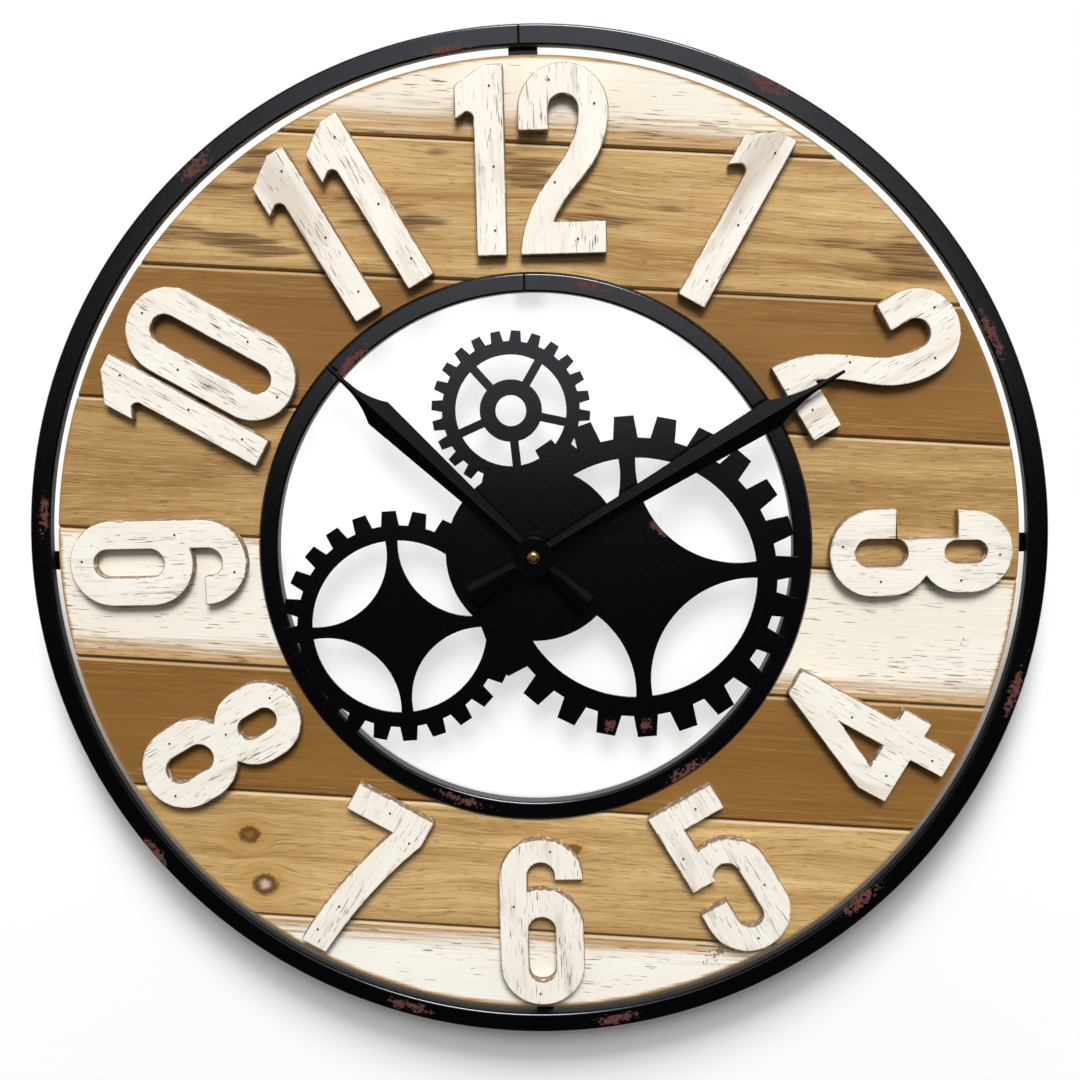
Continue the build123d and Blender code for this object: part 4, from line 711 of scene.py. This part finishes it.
# Numerals: every figure has its own grain, along its height
numerals = []
for hour in HOURS:
    numeral = eased(f"numeral_{hour}", NUMERAL_EDGE, "frame")
    angle, middle = on_dial(hour)
    up = Vector((math.sin(angle), 0, math.cos(angle)))
    across = Vector((math.cos(angle), 0, -math.sin(angle)))
    grain = numeral.data.attributes.new("figure_grain", "FLOAT_VECTOR", "POINT")
    for point, vertex in zip(grain.data, numeral.data.vertices):
        offset = vertex.co / MM - middle
        along = offset.dot(up) + hour * GRAIN_STEP[0]
        point.vector = (along, offset.y, offset.dot(across) + hour * GRAIN_STEP[1])
    numerals.append(numeral)
for piece in [rim, ring, gears, *hands, *numerals]:
    smoothed(piece)


# Nails and screws
def turned_pin(corners, radius, length, y, shoulder):
    """A round pin along the clock's depth, in edit mode, its front face inset by a shoulder and selected."""
    bpy.ops.object.select_all(action="DESELECT")
    bpy.ops.mesh.primitive_cylinder_add(
        vertices=corners, radius=radius * MM, depth=length * MM, location=(0, y * MM, 0),
        rotation=(math.radians(90), 0, 0))
    piece = bpy.context.object
    bpy.ops.object.transform_apply(location=True, rotation=True, scale=True)
    for face in piece.data.polygons:
        face.select = face.normal.y < -FACING
    bpy.ops.object.mode_set(mode="EDIT")
    bpy.ops.mesh.select_mode(type="FACE")
    bpy.ops.mesh.inset(thickness=shoulder * MM)
    return piece


def copies(first, places, name):
    """Set copies of a piece, each with its own mesh, at these places, and join them under one name."""
    bpy.ops.object.select_all(action="DESELECT")
    pattern = first.data.copy()
    for number, place in enumerate(places):
        copy = first if number == 0 else bpy.data.objects.new(name, pattern.copy())
        if number:
            bpy.context.collection.objects.link(copy)
        copy.data.transform(place)
        copy.select_set(True)
    bpy.context.view_layer.objects.active = first
    bpy.ops.object.join()
    first.name = name
    bpy.data.meshes.remove(pattern)


# Nails: a small domed head, set on the strokes of each figure at these shares of its height from its middle
NAILS = {
    "0": ((-0.16, 0.12), (0.16, -0.15), (0.02, 0.43), (-0.03, -0.43)),
    "1": ((0.057, 0.388), (0.071, -0.03), (0.069, -0.365)),
    "2": ((-0.071, 0.41), (0.168, 0.282), (-0.05, -0.121), (0.068, -0.42)),
    "3": ((0.02, 0.43), (0.16, 0.22), (0.16, -0.22), (-0.04, -0.43)),
    "4": ((0.08, -0.40), (0.08, 0.12), (-0.12, -0.22)),
    "5": ((0.05, 0.42), (-0.16, 0.2), (0.16, -0.17), (-0.03, -0.43)),
    "6": ((0.057, 0.43), (-0.16, 0.103), (-0.017, -0.43)),
    "7": ((-0.009, 0.43), (0.171, 0.325), (-0.005, -0.209), (-0.05, -0.393)),
    "8": ((-0.091, 0.39), (-0.04, 0.059), (-0.161, -0.249), (0.115, -0.39)),
    "9": ((-0.057, -0.43), (0.16, -0.103), (0.017, 0.43)),
}
nail = turned_pin(NAIL_CORNERS, NAIL_R, NAIL_LENGTH, 0, NAIL_SHOULDER)
bpy.ops.transform.translate(value=(0, -NAIL_DOME * MM, 0))
bpy.ops.object.mode_set(mode="OBJECT")
bpy.ops.object.shade_smooth_by_angle(angle=math.radians(NAIL_SMOOTH_ANGLE))
# Dull nail steel: dark brown-grey, as bare iron goes indoors
nail.data.materials.append(plain_finish("dull nail steel", "3A302A", "211B18", 0.4, 0.55, 0.6))
places = []
for hour in HOURS:
    angle, middle = on_dial(hour)
    turn = angle + math.radians(180) if hour in UPRIGHT_HOURS else angle
    gap = DIGIT_GAPS.get(hour, 0)
    widths = [ONE_WIDTH if digit == "1" else DIGIT_WIDTH for digit in str(hour)]
    left = -(sum(widths) + gap * (len(widths) - 1)) / 2
    for digit, width in zip(str(hour), widths):
        for along, high in NAILS[digit]:
            x = left + width / 2 + along * DIGIT_HEIGHT
            z = high * DIGIT_HEIGHT
            spot = Vector((
                x * math.cos(turn) + z * math.sin(turn), NUMERAL_FRONT + NAIL_SINK,
                z * math.cos(turn) - x * math.sin(turn),
            ))
            places.append(Matrix.Translation((middle + spot) * MM))
        left += width + gap
copies(nail, places, "numeral_nails")
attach(nail, "frame")

# Plank screws: a pan head with a cross recess on a plain shank, modelled once and driven to different turns
screw = turned_pin(
    SCREW_CORNERS, SCREW_HEAD_R, SCREW_HEAD, STRAP_BACK + SCREW_HEAD / 2, SCREW_HEAD_R - SCREW_SHANK_R)
bpy.ops.mesh.extrude_region_move(TRANSFORM_OT_translate={"value": (0, -SCREW_SHANK * MM, 0)})
bpy.ops.object.mode_set(mode="OBJECT")
for face in screw.data.polygons:
    face.select = face.normal.y > FACING and face.center.y > (STRAP_BACK + SCREW_HEAD * 0.75) * MM
bpy.ops.object.mode_set(mode="EDIT")
bpy.ops.mesh.bevel(offset=SCREW_HEAD_EDGE * MM, segments=4)
bpy.ops.object.mode_set(mode="OBJECT")
for turn in (0, 90):
    bpy.ops.mesh.primitive_cube_add(
        size=1.0, location=(0, (STRAP_BACK + SCREW_HEAD) * MM, 0), rotation=(0, math.radians(turn), 0))
    blade = bpy.context.object
    blade.scale = [side * MM for side in SCREW_RECESS]
    pick(screw)
    bpy.ops.object.modifier_add(type="BOOLEAN")
    screw.modifiers[-1].operation = "DIFFERENCE"
    screw.modifiers[-1].object = blade
    bpy.ops.object.modifier_apply(modifier=screw.modifiers[-1].name)
    bpy.data.objects.remove(blade)
bpy.ops.object.shade_smooth_by_angle(angle=math.radians(SCREW_SMOOTH_ANGLE))
screw.data.materials.clear()
screw.data.materials.append(ZINC)
places = []
for quarter in range(4):
    for number, orbit in enumerate(SCREW_ORBITS):
        spot = Vector((orbit * math.sin(quarter * math.pi / 2), 0, orbit * math.cos(quarter * math.pi / 2)))
        driven = Matrix.Rotation(math.radians(SCREW_TURN * (2 * quarter + number)), 4, "Y")
        places.append(Matrix.Translation(spot * MM) @ driven)
copies(screw, places, "cross_head_screws")
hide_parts("plank_screws")
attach(screw, "frame")


# Stage: a white wall just behind the hanger, seen only from the front, with a shadow painted on it behind
# the planks and plain white far out. Its distances are in metres from the hand axis, as its material reads
# them.
def ray_kinds(tree):
    """Whether a ray comes from the camera, and whether from a reflection or through glass."""
    path = node(tree, "ShaderNodeLightPath", {}).outputs
    mirrored = node(tree, "ShaderNodeMath", {
        0: path["Is Glossy Ray"], 1: path["Is Transmission Ray"],
    }, operation="MAXIMUM").outputs[0]
    return path["Is Camera Ray"], mirrored


WALL_SIZE = 6.0
WALL_BACK = 0.0205
# It turns plain white far out, and nearer from the gap round the planks, but there only above the straps,
# where its white glow to the camera is painted light over the shade that falls there
FAR_FROM, FAR_TO = 0.36, 0.6
GAP_FROM, GAP_TO = 0.2785, 0.2805
STRAPS_FROM, STRAPS_TO = -0.08, 0.02
# A shadow is painted on it to both sides of the middle of the planks, where they hide it
PAINTED_SHADOW_MIDDLE = 0.217
PAINTED_SHADOW_FROM, PAINTED_SHADOW_TO = 0.054, 0.061
PAINTED_SHADOW_LEVEL, WALL_SHADE = 0.04, 0.9
bpy.ops.object.select_all(action="DESELECT")
bpy.ops.mesh.primitive_plane_add(
    size=WALL_SIZE, location=(0, WALL_BACK, 0), rotation=(math.radians(90), 0, 0))
wall = bpy.context.object
wall.name = "wall"
bpy.ops.object.transform_apply(location=True, rotation=True, scale=True)
wall.visible_shadow = False
wall_paint, tree, shader = new_finish("white wall paint")
tree.nodes.remove(shader)
seen = node(tree, "ShaderNodeTexCoord", {}).outputs["Object"]
away = node(tree, "ShaderNodeVectorMath", {0: seen}, operation="LENGTH").outputs["Value"]
camera_ray, mirrored = ray_kinds(tree)
looked_at = node(tree, "ShaderNodeMath", {0: camera_ray, 1: mirrored}, operation="MAXIMUM").outputs[0]
far = node(tree, "ShaderNodeMapRange", {"Value": away, "From Min": FAR_FROM, "From Max": FAR_TO}).outputs[0]
far = node(tree, "ShaderNodeMath", {0: far, 1: looked_at}, operation="MULTIPLY").outputs[0]
# Round the rim the wall glows plain white to the camera down to the straps at three and nine, also in the
# gap to the planks: painted light over the shade there
gap = node(tree, "ShaderNodeMapRange", {"Value": away, "From Min": GAP_FROM, "From Max": GAP_TO}).outputs[0]
upper = node(tree, "ShaderNodeSeparateXYZ", {0: seen}).outputs["Z"]
upper = node(tree, "ShaderNodeMapRange", {
    "Value": upper, "From Min": STRAPS_FROM, "From Max": STRAPS_TO,
}).outputs[0]
gap = node(tree, "ShaderNodeMath", {0: gap, 1: upper}, operation="MULTIPLY").outputs[0]
gap = node(tree, "ShaderNodeMath", {0: gap, 1: camera_ray}, operation="MULTIPLY").outputs[0]
plain = node(tree, "ShaderNodeMath", {0: far, 1: gap}, operation="MAXIMUM").outputs[0]
# Painted shadow: the wall's colour drops to a dark level in a band behind the planks
band = node(tree, "ShaderNodeMath", {0: away, 1: PAINTED_SHADOW_MIDDLE}, operation="SUBTRACT").outputs[0]
band = node(tree, "ShaderNodeMath", {0: band}, operation="ABSOLUTE").outputs[0]
shade = node(tree, "ShaderNodeMapRange", {
    "Value": band, "From Min": PAINTED_SHADOW_FROM, "From Max": PAINTED_SHADOW_TO, "To Min": PAINTED_SHADOW_LEVEL, "To Max": WALL_SHADE,
}).outputs[0]
lit = node(tree, "ShaderNodeBsdfDiffuse", {"Color": shade}).outputs[0]
white = node(tree, "ShaderNodeEmission", {"Strength": 1.0}).outputs[0]
lit = node(tree, "ShaderNodeMixShader", {0: plain, 1: lit, 2: white}).outputs[0]
clear = node(tree, "ShaderNodeBsdfTransparent", {}).outputs[0]
behind = node(tree, "ShaderNodeNewGeometry", {}).outputs["Backfacing"]
lit = node(tree, "ShaderNodeMixShader", {0: behind, 1: lit, 2: clear}).outputs[0]
fit(tree, tree.nodes["Material Output"], {"Surface": lit})
wall.data.materials.append(wall_paint)


# Light: one softbox for the clock, two lamps for the wall alone, and one behind for the back
def chosen(name, pieces, state):
    """A set of pieces that a lamp takes in or leaves out."""
    group = bpy.data.collections.new(name)
    for piece in pieces:
        group.objects.link(piece)
    for member in group.collection_objects:
        member.light_linking.link_state = state
    return group


upper_planks = [nodes[f"plank_{row}"] for row in ("1", "2", "3_left", "3_right", "4_left", "4_right")]
lower_planks = [nodes[f"plank_{row}"] for row in ("5_left", "5_right", "6_left", "6_right", "7", "8")]
# Name, place and size in metres, watts, what it lights and what shades it: all pieces where none are chosen
for name, place, size, power, lights, shades in (
    ("softbox", (0.5, -4.9, 4.1), 2.2, 410.0, chosen("wall left out", [wall], "EXCLUDE"), None),
    ("low wall lamp", (0.0, -4.9, 4.0), 2.6, 150.0, chosen("wall by low lamp", [wall], "INCLUDE"),
     chosen("top left out", [ring, *upper_planks], "EXCLUDE")),
    ("high wall lamp", (0.0, -2.2, 3.9), 1.5, 268.0, chosen("wall by high lamp", [wall], "INCLUDE"),
     chosen("rim and lower planks", [rim, *lower_planks], "INCLUDE")),
    ("back softbox", (0.4, 1.6, 1.2), 1.4, 34.0, None, None),
):
    lamp = bpy.data.lights.new(name, "AREA")
    lamp.size = size
    lamp.energy = power
    holder = bpy.data.objects.new(name, lamp)
    bpy.context.collection.objects.link(holder)
    holder.location = place
    holder.rotation_euler = (-Vector(place)).to_track_quat("-Z", "Y").to_euler()
    holder.light_linking.receiver_collection = lights
    holder.light_linking.blocker_collection = shades

# World: a pale sky that fades to nothing just below the horizon, full white to the camera and in reflections,
# where the room to both sides in front of the clock is dark
SKY_LEVEL = 0.55
HORIZON_FROM, HORIZON_TO = -0.08, 0.0
ASIDE_FROM, ASIDE_TO, ASIDE_LEVEL = 0.35, 0.07, 0.08
AHEAD_FROM, AHEAD_TO = 0.3, -0.3
world = bpy.data.worlds.new("studio")
bpy.context.scene.world = world
world.use_nodes = True
tree = world.node_tree
seen = node(tree, "ShaderNodeTexCoord", {}).outputs["Generated"]
ways = node(tree, "ShaderNodeSeparateXYZ", {0: seen}).outputs
sky = node(tree, "ShaderNodeMapRange", {
    "Value": ways["Z"], "From Min": HORIZON_FROM, "From Max": HORIZON_TO,
}).outputs[0]
aside = node(tree, "ShaderNodeMath", {0: ways["X"]}, operation="ABSOLUTE").outputs[0]
aside = node(tree, "ShaderNodeMapRange", {
    "Value": aside, "From Min": ASIDE_FROM, "From Max": ASIDE_TO, "To Min": ASIDE_LEVEL, "To Max": 1.0,
}).outputs[0]
ahead = node(tree, "ShaderNodeMapRange", {
    "Value": ways["Y"], "From Min": AHEAD_FROM, "From Max": AHEAD_TO,
}).outputs[0]
room = node(tree, "ShaderNodeMix", {0: ahead, 2: 1.0, 3: aside}).outputs[0]
camera_ray, mirrored = ray_kinds(tree)
level = node(tree, "ShaderNodeMapRange", {"Value": mirrored, "To Min": SKY_LEVEL, "To Max": room}).outputs[0]
level = node(tree, "ShaderNodeMath", {0: level, 1: sky}, operation="MULTIPLY").outputs[0]
level = node(tree, "ShaderNodeMath", {0: level, 1: camera_ray}, operation="MAXIMUM").outputs[0]
fit(tree, tree.nodes["Background"], {"Color": (1.0, 1.0, 1.0, 1.0), "Strength": level})

# Camera: just above and right of the hand axis, turned a little
LENS = 45.08
SENSOR = 36.0
EYE = Vector((27.66, -789.2, 116.0)) * MM
AIM = Vector((3.44, 3.0, 7.35)) * MM
ROLL = -1.339
camera = bpy.data.objects.new("camera", bpy.data.cameras.new("camera"))
bpy.context.collection.objects.link(camera)
camera.data.lens = LENS
camera.data.sensor_width = SENSOR
look = (AIM - EYE).to_track_quat("-Z", "Y").to_matrix().to_4x4()
camera.matrix_world = Matrix.Translation(EYE) @ look @ Matrix.Rotation(math.radians(ROLL), 4, "Z")
bpy.context.scene.camera = camera
bpy.context.scene.view_settings.view_transform = "Standard"
